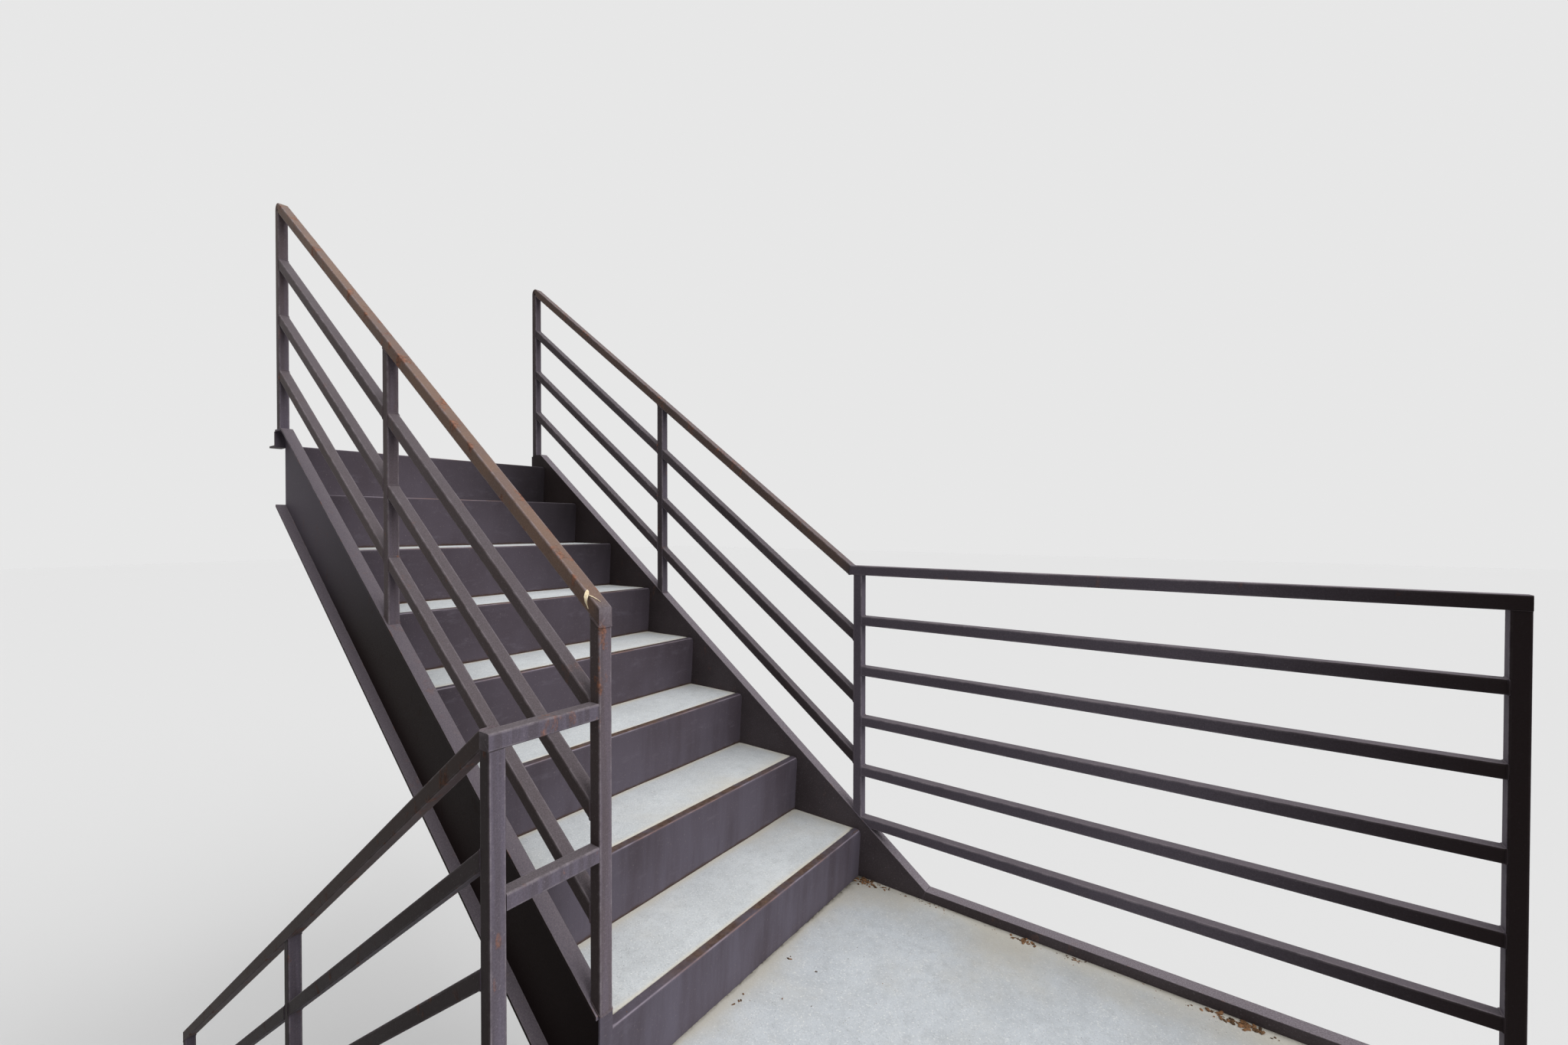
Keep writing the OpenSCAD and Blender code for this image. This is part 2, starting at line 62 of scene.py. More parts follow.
class Finish:
    """Node material of one surface. Every pattern is a function of Object coordinates."""

    def __init__(self, name):
        self.material = bpy.data.materials.new(name)
        self.material.use_nodes = True
        self.tree = self.material.node_tree
        self.shader = self.tree.nodes["Principled BSDF"]
        self.place = self.add("TexCoord").outputs["Object"]
        self.normal = self.add("NewGeometry").outputs["Normal"]

    def plug(self, socket, value):
        """Link an output into a socket, or write a plain number or colour on it."""
        if isinstance(value, bpy.types.NodeSocket):
            self.tree.links.new(value, socket)
        elif hasattr(value, "__len__") and len(value) == 3 and len(socket.default_value) == 4:
            socket.default_value = (*value, 1.0)
        else:
            socket.default_value = value

    def add(self, kind, *values, **settings):
        """New node, its settings by name and its input sockets filled in their order."""
        node = self.tree.nodes.new("ShaderNode" + kind)
        for name, value in settings.items():
            setattr(node, name, value)
        for socket, value in zip([s for s in node.inputs if s.enabled], values):
            self.plug(socket, value)
        return node

    def math(self, operation, *values, clamp=False):
        """One sum, held to 0..1 where clamp says so."""
        return self.add("Math", *values, operation=operation, use_clamp=clamp).outputs[0]

    def mix(self, share, a, b):
        """Colour a where share is 0, colour b where it is 1."""
        node = self.add("Mix", data_type="RGBA")
        for key, value in (("Factor_Float", share), ("A_Color", a), ("B_Color", b)):
            self.plug(next(s for s in node.inputs if s.identifier == key), value)
        return next(s for s in node.outputs if s.identifier == "Result_Color")

    def ramp(self, value, low, high, to_low=0.0, to_high=1.0):
        """Smooth step from to_low to to_high while the value goes from low to high."""
        return self.add("MapRange", value, low, high, to_low, to_high,
                        interpolation_type="SMOOTHSTEP").outputs[0]

    def noise(self, scale, detail=3.0, stretch=(1, 1, 1), shift=0.0, rough=0.55):
        """Cloudy value from 0 to 1, a given number of clouds to the metre."""
        place = self.add("Mapping", self.place, (shift, shift * 1.7, shift * 0.6), (0, 0, 0),
                         stretch).outputs[0]
        node = self.add("TexNoise", place)
        for key, value in (("Scale", scale), ("Detail", detail), ("Roughness", rough)):
            node.inputs[key].default_value = value
        return node.outputs[0]

    def attribute(self, name):
        """A piece's own number per point, 0 on nodes of the frame, which have none."""
        return self.add("Attribute", attribute_name=name).outputs["Fac"]

    def facing(self, low, high, axis=2):
        """1 where the surface faces along an axis, 0 where it faces away from it."""
        part = self.add("SeparateXYZ", self.normal).outputs[axis]
        return self.ramp(part, low, high)

    def bump(self, height, distance, strength, before=None):
        """Relief some metres deep, laid over an earlier relief where there is one."""
        node = self.add("Bump")
        for key, value in (("Strength", strength), ("Distance", distance), ("Height", height)):
            self.plug(node.inputs[key], value)
        if before is not None:
            self.plug(node.inputs["Normal"], before)
        return node.outputs[0]

    def shade(self, colour, roughness, bump=None, specular=0.0):
        """The finished material."""
        s = self.shader.inputs
        self.plug(s["Base Color"], colour)
        self.plug(s["Roughness"], roughness)
        s["Specular IOR Level"].default_value = specular
        if bump is not None:
            self.plug(s["Normal"], bump)
        return self.material


PAINT_DARK, PAINT, CHALK = (0.074, 0.060, 0.064), (0.108, 0.090, 0.098), (0.165, 0.143, 0.182)
DUST, BROWN_FILM, PALE_WEAR_AND_HIGHLIGHT = (0.190, 0.165, 0.180), (0.235, 0.152, 0.112), (0.330, 0.290, 0.315)
RUST_DARK, RUST_ORANGE = (0.160, 0.080, 0.056), (0.360, 0.160, 0.098)
SHADE = (0.010, 0.005, 0.003)


def old_paint(name, edge=0.0, rusty=0.0, dusty=0.6, seed=0.0, shade_tones=(), dust_colour=DUST,
              lift=0.0):
    """Chalky dark paint: clouds, a streaky film of chalk on faces towards the open side, dust on
    faces that look up, brown film and rust where a piece has them, pale edges that are partly
    rubbed paint and partly a painted highlight. Lift is a share of chalk all over. Each shade tone
    is an axis, two places on it and how much of its colour a face along the flight keeps at each:
    the rest is painted shade, a brown black put on faces that look across the flight."""
    f = Finish(name)
    wear = f.math("ADD", f.attribute("wear"), edge, clamp=True)
    rust = f.math("ADD", f.attribute("rust"), rusty)
    grain = f.noise(340, 3, shift=seed + 3)
    colour = f.mix(f.ramp(f.noise(3.1, 4, shift=seed), 0.3, 0.7), PAINT_DARK, PAINT)
    colour = f.mix(lift, colour, CHALK)
    streak = f.noise(60, 3, (1, 1, 0.04), seed)
    chalk = f.math("MULTIPLY", f.facing(0.3, 0.95, 0), f.ramp(streak, 0.36, 0.66, 0.45, 0.9))
    colour = f.mix(chalk, colour, CHALK)
    patchy = f.ramp(f.noise(7, 4, shift=seed + 4), 0.3, 0.6, 0.7, 1)
    film = f.math("MULTIPLY", f.attribute("film"), patchy)
    colour = f.mix(film, colour, BROWN_FILM)
    dust = f.math("MULTIPLY", f.facing(0.35, 0.9), f.ramp(grain, 0.35, 0.68, 0.6 * dusty, dusty))
    colour = f.mix(f.math("MULTIPLY", dust, f.ramp(film, 0, 1, 1, 0.15)), colour, dust_colour)
    # Pale edges: partly rubbed paint, partly a painted highlight along the edges; the same pale
    # colour makes the specks.
    edge_wear_and_highlight = f.ramp(f.noise(30, 5, shift=seed + 5), 0.4, 0.62, 0.12, 0.45)
    colour = f.mix(f.math("MULTIPLY", f.ramp(wear, 0.35, 1), edge_wear_and_highlight), colour, PALE_WEAR_AND_HIGHLIGHT)
    blotch = f.noise(24, 6, (1, 1, 0.55), seed + 9, 0.66)
    reach = f.math("MULTIPLY_ADD", rust, f.math("MULTIPLY_ADD", wear, 0.12, 0.16), blotch)
    rusted = f.math("MULTIPLY", f.ramp(reach, 0.60, 0.72, 0, 0.85), f.ramp(rust, 0, 0.1))
    rust_colour = f.mix(f.ramp(f.noise(120, 4, shift=seed), 0.38, 0.6), RUST_DARK, RUST_ORANGE)
    colour = f.mix(rusted, colour, rust_colour)
    specks = f.noise(210, 3, shift=seed + 2, rough=0.65)
    colour = f.mix(f.ramp(specks, 0.60, 0.74, 0, 0.45), colour, PALE_WEAR_AND_HIGHLIGHT)
    colour = f.mix(f.ramp(grain, 0.3, 0.7, 0.22, 0), colour, (0.02, 0.015, 0.018))
    # Painted shade: by place along an axis, faces that look across the flight are darkened towards
    # a brown black.
    across = f.math("ABSOLUTE", f.add("SeparateXYZ", f.normal).outputs[1])
    shade_side = f.ramp(across, 0.35, 0.9)
    for axis, start, end, first, last in shade_tones:
        place = f.add("SeparateXYZ", f.place).outputs[axis]
        painted_shade = f.math("MULTIPLY", shade_side, f.ramp(place, start, end, 1 - first, 1 - last))
        colour = f.mix(painted_shade, colour, SHADE)
    rough = f.math("MULTIPLY_ADD", rusted, 0.25, f.ramp(grain, 0.3, 0.7, 0.50, 0.62))
    bump = f.bump(f.noise(300, 2), 0.0003, 0.3)
    bump = f.bump(f.math("MULTIPLY_ADD", rusted, 0.6, f.math("MULTIPLY", rusted, blotch)),
                  0.0009, 0.7, bump)
    return f.shade(colour, rough, bump, 0.05)


def rolled_edges(node, width, paints):
    """Keep a node of the frame, its edges rounded as rolled steel's are: points merged, flat
    faces joined, every edge sharper than 28 degrees cut back by width in the second paint."""
    obj = nodes[node]
    weld = obj.modifiers.new("weld", "WELD")
    weld.merge_threshold = 2e-5
    flat = obj.modifiers.new("flat", "DECIMATE")
    flat.decimate_type = "DISSOLVE"
    flat.angle_limit = np.radians(0.5)
    edge = obj.modifiers.new("edge", "BEVEL")
    edge.width = width
    edge.segments = 2
    edge.limit_method = "ANGLE"
    edge.angle_limit = np.radians(28)
    edge.harden_normals = True
    edge.material = 1
    obj.data.materials.clear()
    for paint in paints:
        obj.data.materials.append(paint)


THICK_DUST = (0.330, 0.290, 0.325)
# Painted shade on the stringers: faces that look across the flight darken along x or z where they
# stand in shade.
STRINGER_SHADE = {"upper_stringer_wall_side": (0, -1.3, 0.1, 0.35, 1.0),
         "upper_stringer_well_side": (2, 2.30, 2.85, 0.06, 1.0),
         "lower_stringer_well_side": (2, 0.3, 1.5, 0.6, 0.8)}
for name in ("upper_stringer_wall_side", "upper_stringer_well_side", "lower_stringer_well_side",
             "lower_stringer_outer_side", "landing_edge_wall_side", "landing_edge_outer_side",
             "landing_header", "landing_end_channel"):
    shade_tones = [STRINGER_SHADE[name]] if name in STRINGER_SHADE else ()
    # The well side stringer's lift of chalk is partly painted light, standing in for light
    # reflected onto its web.
    lift = 0.6 if name == "upper_stringer_well_side" else 0.0
    settled = (0.200, 0.172, 0.190) if name == "upper_stringer_well_side" else THICK_DUST
    rolled_edges(name, 0.0018, [
        old_paint(name + "_paint", rusty=0.03, dusty=0.85, seed=0.4, shade_tones=shade_tones,
                  dust_colour=settled, lift=lift),
        old_paint(name + "_edge_paint", edge=0.8, rusty=0.06, dusty=0.9, seed=1.1, shade_tones=shade_tones,
                  dust_colour=settled)])

under_paints = [old_paint("under_paint", rusty=0.10, dusty=0.5, seed=6.0),
                old_paint("under_edge_paint", edge=0.6, rusty=0.15, dusty=0.6, seed=7.0)]
for name in ("upper_carrier_angles", "lower_carrier_angles", "upper_tread_pans",
             "lower_tread_pans", "landing_joists", "landing_pan", "upper_cross_angle",
             "upper_lug_wall_side", "upper_lug_well_side"):
    rolled_edges(name, 0.0009, under_paints)


# Columns.
# Four columns of square tube under the landing, each welded between a base plate and a
# cap plate, with patches of rust, more of them along the edges.

column_paints = [old_paint("column_paint", rusty=0.03, dusty=0.7, seed=11.0),
                 old_paint("column_edge_paint", edge=0.6, rusty=0.12, dusty=0.9, seed=12.0)]
for name in ("column_wall_front", "column_wall_back", "column_outer_front", "column_outer_back"):
    rolled_edges(name, 0.0012, column_paints)


# Risers.
# Each riser is a leaning plate bent back at its top as a steel lip that holds the edge
# of the concrete. Feet have worn the paint off the lip and the bend down to brown steel.

RISER, GOING, STEPS, LEAN, OVER_NOSE = 0.1905, 0.2635, 8, 0.012, 0.039
SHEET, FILL, LIP, TOP_LIP = 0.0048, 0.045, 0.028, 0.060
END_RUN, TOE_RUN, FIRST_DROP, FLANGE = 0.0955, 0.2727, 0.033, 0.03175
RUN_END = (STEPS - 1) * GOING + END_RUN
IN_Y, OUT_Y = (corner.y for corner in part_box("upper_tread_1"))
LANDING_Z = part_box("landing_slab")[1].z
UPPER_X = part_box("upper_stringer_wall_side")[0].x + RUN_END
UPPER_Z = LANDING_Z - FIRST_DROP
LOWER_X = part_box("lower_stringer_outer_side")[0].x + TOE_RUN
PAN_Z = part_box("landing_pan")[0].z


def upper(u, w):
    """A point of the upper flight: u runs up the flight from riser 1, w is up."""
    return UPPER_X - np.asarray(u, float), UPPER_Z + np.asarray(w, float)


def lower(u, w):
    """A point of the lower flight, whose riser 1 stands on the floor."""
    return LOWER_X + np.asarray(u, float), np.asarray(w, float)


def sweep(rings, loop=False):
    """Closed surface through rings of points, an array of rings x points x 3. Four-sided faces
    join each ring to the next, and a flat face closes each end unless the last joins the first.
    Faces come as blocks, each an array of faces x corners."""
    rings = np.asarray(rings, float)
    n, m = rings.shape[:2]
    i, j = np.meshgrid(np.arange(n if loop else n - 1), np.arange(m), indexing="ij")
    after, beside = (i + 1) % n, (j + 1) % m
    quads = np.stack([i * m + j, i * m + beside, after * m + beside, after * m + j], -1)
    quads = quads.reshape(-1, 4)
    points = rings.reshape(-1, 3)
    a, b, c, d = (points[quads[:, k]] - points.mean(0) for k in range(4))
    outward = np.sum((a + b + c + d) * np.cross(c - a, d - b)) > 0
    if not outward:
        quads = quads[:, ::-1]
    blocks = [quads]
    if not loop:
        ends = np.stack([np.arange(m)[::-1], np.arange(m) + (n - 1) * m])
        blocks.append(ends if outward else ends[:, ::-1])
    return points, blocks


def piece(name, parts, material, replaced=(), crease=38):
    """One object from closed surfaces, each with its points, its blocks of faces and a number
    per point for wear, rust and film. An edge sharper than crease degrees stays sharp."""
    points = np.concatenate([p["points"] for p in parts])
    starts = np.cumsum([0] + [len(p["points"]) for p in parts])
    faces = [face for start, p in zip(starts, parts) for block in p["faces"]
             for face in (block + start).tolist()]
    mesh = bpy.data.meshes.new(name)
    mesh.from_pydata(points.tolist(), [], faces)
    for key in ("wear", "rust", "film"):
        values = [np.broadcast_to(p.get(key, 0.0), len(p["points"])) for p in parts]
        mesh.attributes.new(key, "FLOAT", "POINT").data.foreach_set(
            "value", np.concatenate(values).astype(np.float32))
    mesh.polygons.foreach_set("use_smooth", np.ones(len(mesh.polygons), bool))
    mesh.set_sharp_from_angle(angle=np.radians(crease))
    mesh.update()
    obj = bpy.data.objects.new(name, mesh)
    bpy.context.scene.collection.objects.link(obj)
    mesh.materials.append(material)
    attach(obj, "root")
    if replaced:
        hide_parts(*replaced)


def soft_corner(a, corner, b, count):
    """Bend from a to b whose straight sides meet at corner: the parabola of the three, for one
    set of them or for an array of sets."""
    a, corner, b = (np.asarray(point, float)[..., None, :] for point in (a, corner, b))
    s = np.linspace(0, 1, count)[:, None]
    return (1 - s) ** 2 * a + 2 * s * (1 - s) * corner + s ** 2 * b


def riser_u(k, w):
    """Place of riser k's face at height w: its going, less a lean that grows with the height."""
    return (k - 1) * GOING - LEAN * (w - (k - 1) * RISER) / RISER


def riser_sheet(flight, k, foot, lip, y0, y1, seed):
    """Bent sheet: up its face, round the bend, along the lip and back by the inside, carried
    across the flight. The bend opens out over the last 13 mm at each web, and lip and face
    wander by half a millimetre, as sums of sine waves along y."""
    rng = np.random.default_rng(seed)
    top, ground = k * RISER, max(foot, (k - 1) * RISER) + 0.002
    flare = np.array([0, 0.0015, 0.004, 0.008, 0.013])
    y = np.concatenate([y0 + flare, np.linspace(y0 + 0.03, y1 - 0.03, 30), y1 - flare[::-1]])
    near = np.clip(1 - np.minimum(y - y0, y1 - y) / flare[-1], 0, 1)
    phase = rng.uniform(0, 6.3, 4)
    sway = 0.0005 * (np.sin(5 * y + phase[0]) + np.sin(11 * y + phase[1]))
    dip = -0.0003 * (1 + np.sin(7 * y + phase[2]))
    down = np.array([riser_u(k, 0) - riser_u(k, 1), -1.0])
    down /= np.hypot(*down)
    back = np.array([1.0, 0.0])
    reach = (0.007 + 0.013 * near ** 2)[:, None]
    inner = np.maximum(reach - SHEET, 0.002)
    level = top - 0.0004 + dip
    corner = np.stack([np.full_like(y, riser_u(k, top)), level], -1)
    hollow = np.stack([np.full_like(y, riser_u(k, top - SHEET) + SHEET), level - SHEET], -1)
    outer = soft_corner(corner + down * reach, corner, corner + back * reach, 8)
    inside = soft_corner(hollow + back * inner, hollow, hollow + down * inner, 4)
    bend_start = (corner + down * (reach + 0.004))[:, 1]
    low = np.tile([foot, ground - 0.001, ground + 0.003, ground + 0.012], (len(y), 1))
    heights = np.concatenate([low, np.linspace(ground + 0.05, bend_start, 4, axis=-1)], 1)
    face = np.stack([riser_u(k, heights), heights], -1)
    face[:, 4:7, 0] += sway[:, None]
    edge = corner[:, None] + [[lip - 0.0012, 0], [lip, -0.0012], [lip, -SHEET]]
    heel = np.tile([[riser_u(k, foot) + SHEET, foot]], (len(y), 1, 1))
    ring = np.concatenate([face, outer, edge, inside, heel], 1)
    x, z = flight(ring[..., 0], ring[..., 1])
    points, faces = sweep(np.stack([x, np.broadcast_to(y[:, None], x.shape), z], -1))
    across = np.concatenate([np.zeros(8), np.linspace(0.6, 1, 8), [1, 1, 0.5], np.zeros(5)])
    stain = np.concatenate([[1, 1, 0.5], np.zeros(len(across) - 3)])
    return {"points": points, "faces": faces, "wear": np.tile(across, len(y)),
            "rust": np.tile(stain, len(y))}


def pan_level(k):
    """Underside of the pan behind riser k: a riser lower, less the fill and the sheet."""
    return (k - 1) * RISER - FILL - SHEET


def riser_finish(name, seed):
    """Riser paint with soft upright streaks, paler and bluer low down: painted light, the higher
    risers left darker as in shade. The lip is bare brown steel along its middle, and its bend a
    thin pale line:
    a painted highlight along the bend. A painted shadow darkens the high risers towards the wall."""
    f = Finish(name)
    wear = f.attribute("wear")
    height = f.add("SeparateXYZ", f.place).outputs[2]
    colour = f.mix(f.ramp(f.noise(3.4, 5, shift=seed), 0.3, 0.7), (0.068, 0.054, 0.065),
                   (0.088, 0.072, 0.089))
    # Painted light: low down the paint takes pale bluish streaks, higher up it stays darker as in
    # shade.
    painted_light_low = f.ramp(height, 1.5, 2.3, 0.75, 0.10)
    streak = f.ramp(f.noise(14, 5, (1, 1, 0.12), seed + 6, 0.6), 0.3, 0.7, 0.2, 1)
    colour = f.mix(f.math("MULTIPLY", painted_light_low, streak), colour, (0.140, 0.126, 0.162))
    scuff = f.noise(30, 6, (1, 0.35, 1), seed, 0.72)
    colour = f.mix(f.ramp(scuff, 0.54, 0.74, 0, 0.4), colour, (0.150, 0.132, 0.160))
    speck = f.ramp(f.noise(190, 3, shift=seed + 4, rough=0.65), 0.60, 0.74, 0, 0.4)
    colour = f.mix(speck, colour, (0.24, 0.20, 0.20))
    across = f.add("SeparateXYZ", f.place).outputs[1]
    off_middle = f.math("SUBTRACT", f.math("ABSOLUTE", across), 0.67)
    middle = f.ramp(f.math("ABSOLUTE", off_middle), 0.26, 0.46, 1, 0)
    worn = f.ramp(f.math("MULTIPLY_ADD", f.noise(20, 5, shift=seed), 0.5, wear), 1.10, 1.30)
    brown = f.mix(f.ramp(f.noise(60, 5, shift=seed + 1), 0.35, 0.65), (0.070, 0.042, 0.032),
                  (0.120, 0.078, 0.060))
    colour = f.mix(f.math("MULTIPLY", worn, middle), colour, brown)
    # Painted highlight: a thin pale line along the bend of each lip.
    bend_highlight = f.math("MULTIPLY", f.ramp(wear, 0.72, 0.82), f.ramp(wear, 0.86, 0.95, 1, 0))
    pale = f.mix(f.math("MULTIPLY", middle, f.ramp(f.noise(8, 4, shift=seed + 7), 0.4, 0.6)),
                 (0.30, 0.26, 0.31), (0.27, 0.165, 0.14))
    thin = f.ramp(f.noise(11, 5, shift=seed + 9, rough=0.65), 0.36, 0.60, 0.25, 0.75)
    colour = f.mix(f.math("MULTIPLY", bend_highlight, thin), colour, pale)
    foot = f.ramp(f.math("ADD", f.attribute("rust"), f.noise(40, 4, shift=seed)), 0.7, 1.4, 0, 0.8)
    colour = f.mix(foot, colour, (0.06, 0.034, 0.022))
    # Painted shadow: the high risers darken towards the wall stringer.
    painted_shadow = f.math("MULTIPLY", f.ramp(across, 0.55, 1.12), f.ramp(height, 2.1, 2.85))
    colour = f.mix(f.math("MULTIPLY", painted_shadow, 0.75), colour, (0.012, 0.010, 0.011))
    rough = f.math("MULTIPLY_ADD", worn, 0.1, f.ramp(scuff, 0.3, 0.8, 0.45, 0.6))
    bump = f.bump(f.noise(300, 3, shift=seed), 0.0006, 0.4)
    bump = f.bump(scuff, 0.001, 0.2, bump)
    return f.shade(colour, rough, bump, 0.08)


riser_paint = riser_finish("riser_paint", 2.0)
upper_parts = []
for k in range(1, STEPS + 1):
    foot = PAN_Z - UPPER_Z if k == 1 else pan_level(k)
    upper_parts.append(riser_sheet(upper, k, foot, TOP_LIP if k == STEPS else LIP,
                                   IN_Y, OUT_Y, k))

# The bottom riser's plate runs on past the stringer's web and up to the stringer's edge.
foot, front = PAN_Z - UPPER_Z, -LEAN
stringer_top = RISER + OVER_NOSE
closer = np.array([[riser_u(1, foot), foot], [front, RISER], [front, stringer_top - 0.001],
                   [front + 0.001, stringer_top], [front + SHEET - 0.001, stringer_top],
                   [front + SHEET, stringer_top - 0.001], [front + SHEET, RISER],
                   [riser_u(1, foot) + SHEET, foot]])
x, z = upper(closer[:, 0], closer[:, 1])
points, faces = sweep([np.stack([x, np.full_like(x, y), z], -1)
                       for y in (IN_Y - FLANGE, IN_Y - 0.0006, IN_Y)])
upper_parts.append({"points": points, "faces": faces, "wear": 0.3})
piece("upper_risers_sheet", upper_parts, riser_paint, ["upper_risers"])
lower_parts = [riser_sheet(lower, k, max(0.0, pan_level(k)), LIP, -OUT_Y, -IN_Y, 20 + k)
               for k in range(1, STEPS + 1)]
piece("lower_risers_sheet", lower_parts, riser_paint, ["lower_risers"])


# Concrete treads.
# Concrete cast in the step pans and struck off by hand flush with the lips: pale, finely
# pitted, a little uneven, and beige and darker with dirt along its edges.

def cast(xs, ys, keep, top, bottom, edge):
    """Closed slab over a plan of grid cells: xs and ys are the grid lines, keep says which
    cells are concrete, top is the height at the grid's corners, and a wall stands on every
    cell side that has no neighbour. Edge is each corner's distance from the nearest side."""
    nx, ny = len(xs), len(ys)
    x, y = np.meshgrid(xs, ys, indexing="ij")
    number = np.arange(nx * ny).reshape(nx, ny)
    under = number + nx * ny
    a, b, c, d = number[:-1, :-1], number[1:, :-1], number[1:, 1:], number[:-1, 1:]
    faces = [np.stack([q[keep] for q in (a, b, c, d)], -1),
             np.stack([q[keep] + nx * ny for q in (d, c, b, a)], -1)]
    padded = np.pad(keep, 1)
    sides = ((padded[:-2, 1:-1], d, a), (padded[2:, 1:-1], b, c),
             (padded[1:-1, :-2], a, b), (padded[1:-1, 2:], c, d))
    for neighbour, p, q in sides:
        open_side = keep & ~neighbour
        faces.append(np.stack([q[open_side], p[open_side], under.flat[p[open_side]],
                               under.flat[q[open_side]]], -1))
    points = np.concatenate([np.stack([x, y, top], -1).reshape(-1, 3),
                             np.stack([x, y, np.full_like(x, bottom)], -1).reshape(-1, 3)])
    faces = np.concatenate(faces)
    used = np.unique(faces)
    renumber = np.zeros(len(points), int)
    renumber[used] = np.arange(len(used))
    wear = np.concatenate([edge.ravel(), np.zeros(nx * ny)])[used]
    return {"points": points[used], "faces": [renumber[faces]], "wear": wear}


def trowelled(x, y, seed, size):
    """Height of a hand-struck surface: eight long sine waves in random directions, whose sum has
    two thirds of size as its root mean square."""
    rng = np.random.default_rng(seed)
    height = np.zeros_like(x)
    for _ in range(8):
        turn, pitch = rng.uniform(0, 6.3), rng.uniform(6, 34)
        height += np.sin(pitch * (x * np.cos(turn) + y * np.sin(turn)) + rng.uniform(0, 6.3))
    return size * height / 3


def edge_lines(start, end, count):
    """Grid lines that lie close together at both ends, where the surface rolls over."""
    fine = np.array([0.0, 0.002, 0.005, 0.012, 0.025])
    inner = np.linspace(start + 0.04, end - 0.04, count)
    return np.concatenate([start + fine, inner, end - fine[::-1]])


def concrete_finish(name, pale, stain, seed, speckle=1.0):
    """Cast concrete: broad clouds, fine speckle, dark pits and beige dirt where wear, the
    nearness of a steel edge, passes a cloudy threshold."""
    f = Finish(name)
    near = f.attribute("wear")
    cloud = f.noise(4.5, 6, shift=seed, rough=0.6)
    colour = f.mix(f.ramp(cloud, 0.3, 0.7), [c * 0.86 for c in pale], pale)
    mottle = f.noise(34, 6, shift=seed + 1, rough=0.7)
    colour = f.mix(f.ramp(mottle, 0.42, 0.72, 0, 0.5), colour, [c * 0.72 for c in pale])
    grain = f.noise(230, 3, shift=seed + 2, rough=0.7)
    colour = f.mix(f.ramp(grain, 0.50, 0.72, 0, 0.45 * speckle), colour, [c * 0.5 for c in pale])
    light = f.noise(200, 3, shift=seed + 7, rough=0.7)
    colour = f.mix(f.ramp(light, 0.54, 0.72, 0, 0.7 * speckle), colour, (0.93, 0.93, 0.91))
    washed = f.math("MULTIPLY_ADD", f.noise(2.6, 6, shift=seed + 4, rough=0.62), 1.1, near)
    colour = f.mix(f.ramp(washed, 0.55, 1.05, 0, 0.75), colour, stain)
    dirt = f.ramp(f.math("MULTIPLY_ADD", f.noise(16, 6, shift=seed + 3, rough=0.68), 0.9, near),
                  0.95, 1.35)
    colour = f.mix(f.math("MULTIPLY", dirt, 0.8), colour, [c * 0.55 for c in stain])
    black = f.ramp(f.math("MULTIPLY_ADD", f.noise(70, 5, shift=seed + 5, rough=0.7), 0.8, near),
                   1.22, 1.42)
    colour = f.mix(f.math("MULTIPLY", black, 0.8), colour, (0.06, 0.05, 0.04))
    cells = f.add("TexVoronoi", f.place)
    cells.inputs["Scale"].default_value = 95
    pit = f.ramp(cells.outputs["Distance"], 0.05, 0.12, 1, 0)
    some = f.ramp(f.noise(9, 3, shift=seed + 6), 0.48, 0.6)
    pit = f.math("MULTIPLY", pit, some)
    colour = f.mix(f.math("MULTIPLY", pit, 0.75), colour, (0.10, 0.09, 0.08))
    bump = f.bump(f.noise(260, 4, shift=seed), 0.0012, 0.45)
    bump = f.bump(f.math("SUBTRACT", mottle, f.math("MULTIPLY", pit, 1.5)), 0.0015, 0.5, bump)
    return f.shade(colour, f.ramp(mottle, 0.3, 0.8, 0.78, 0.95), bump, 0.2)


STRUCK, ROLL, ROLL_WIDTH = 0.0012, 0.0016, 0.0022
tread_concrete = concrete_finish("tread_concrete", (0.685, 0.715, 0.735), (0.66, 0.62, 0.53), 3.0)
for flight, side in ((upper, "upper"), (lower, "lower")):
    for k in range(1, STEPS):
        node = "%s_tread_%d" % (side, k)
        box_low, box_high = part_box(node)
        front, _ = flight(riser_u(k, k * RISER) + LIP, 0)
        rear, _ = flight(k * GOING, 0)
        xs = edge_lines(min(front, rear), max(front, rear), 14)
        ys = edge_lines(box_low.y, box_high.y, 44)
        x, y = np.meshgrid(xs, ys, indexing="ij")
        to_lip = np.abs(x - front)
        to_side = np.minimum(y - box_low.y, box_high.y - y)
        to_rear = np.abs(x - rear)
        gap = np.minimum(to_lip, to_side)
        top = box_high.z - STRUCK + trowelled(x, y, 40 + k + 10 * (side == "lower"), 0.0005)
        top -= ROLL * np.exp(-gap / ROLL_WIDTH)
        edge = 0.75 * np.exp(-to_lip / 0.006) + 0.10 * np.exp(-to_lip / 0.05)
        edge += 0.25 * np.exp(-to_side / 0.05) + 0.3 * np.exp(-to_side / 0.01)
        edge = np.clip(edge + 0.65 * np.exp(-to_rear / 0.014), 0, 1)
        keep = np.ones((len(xs) - 1, len(ys) - 1), bool)
        slab = cast(xs, ys, keep, top, box_low.z, edge)
        piece(node + "_fill", [slab], tread_concrete, [node])


# Landing slab.
# The half landing's floor is one slab cast on a steel pan, smoother and bluer than the
# treads, with a beige band of washed-in dirt along the edge channel.

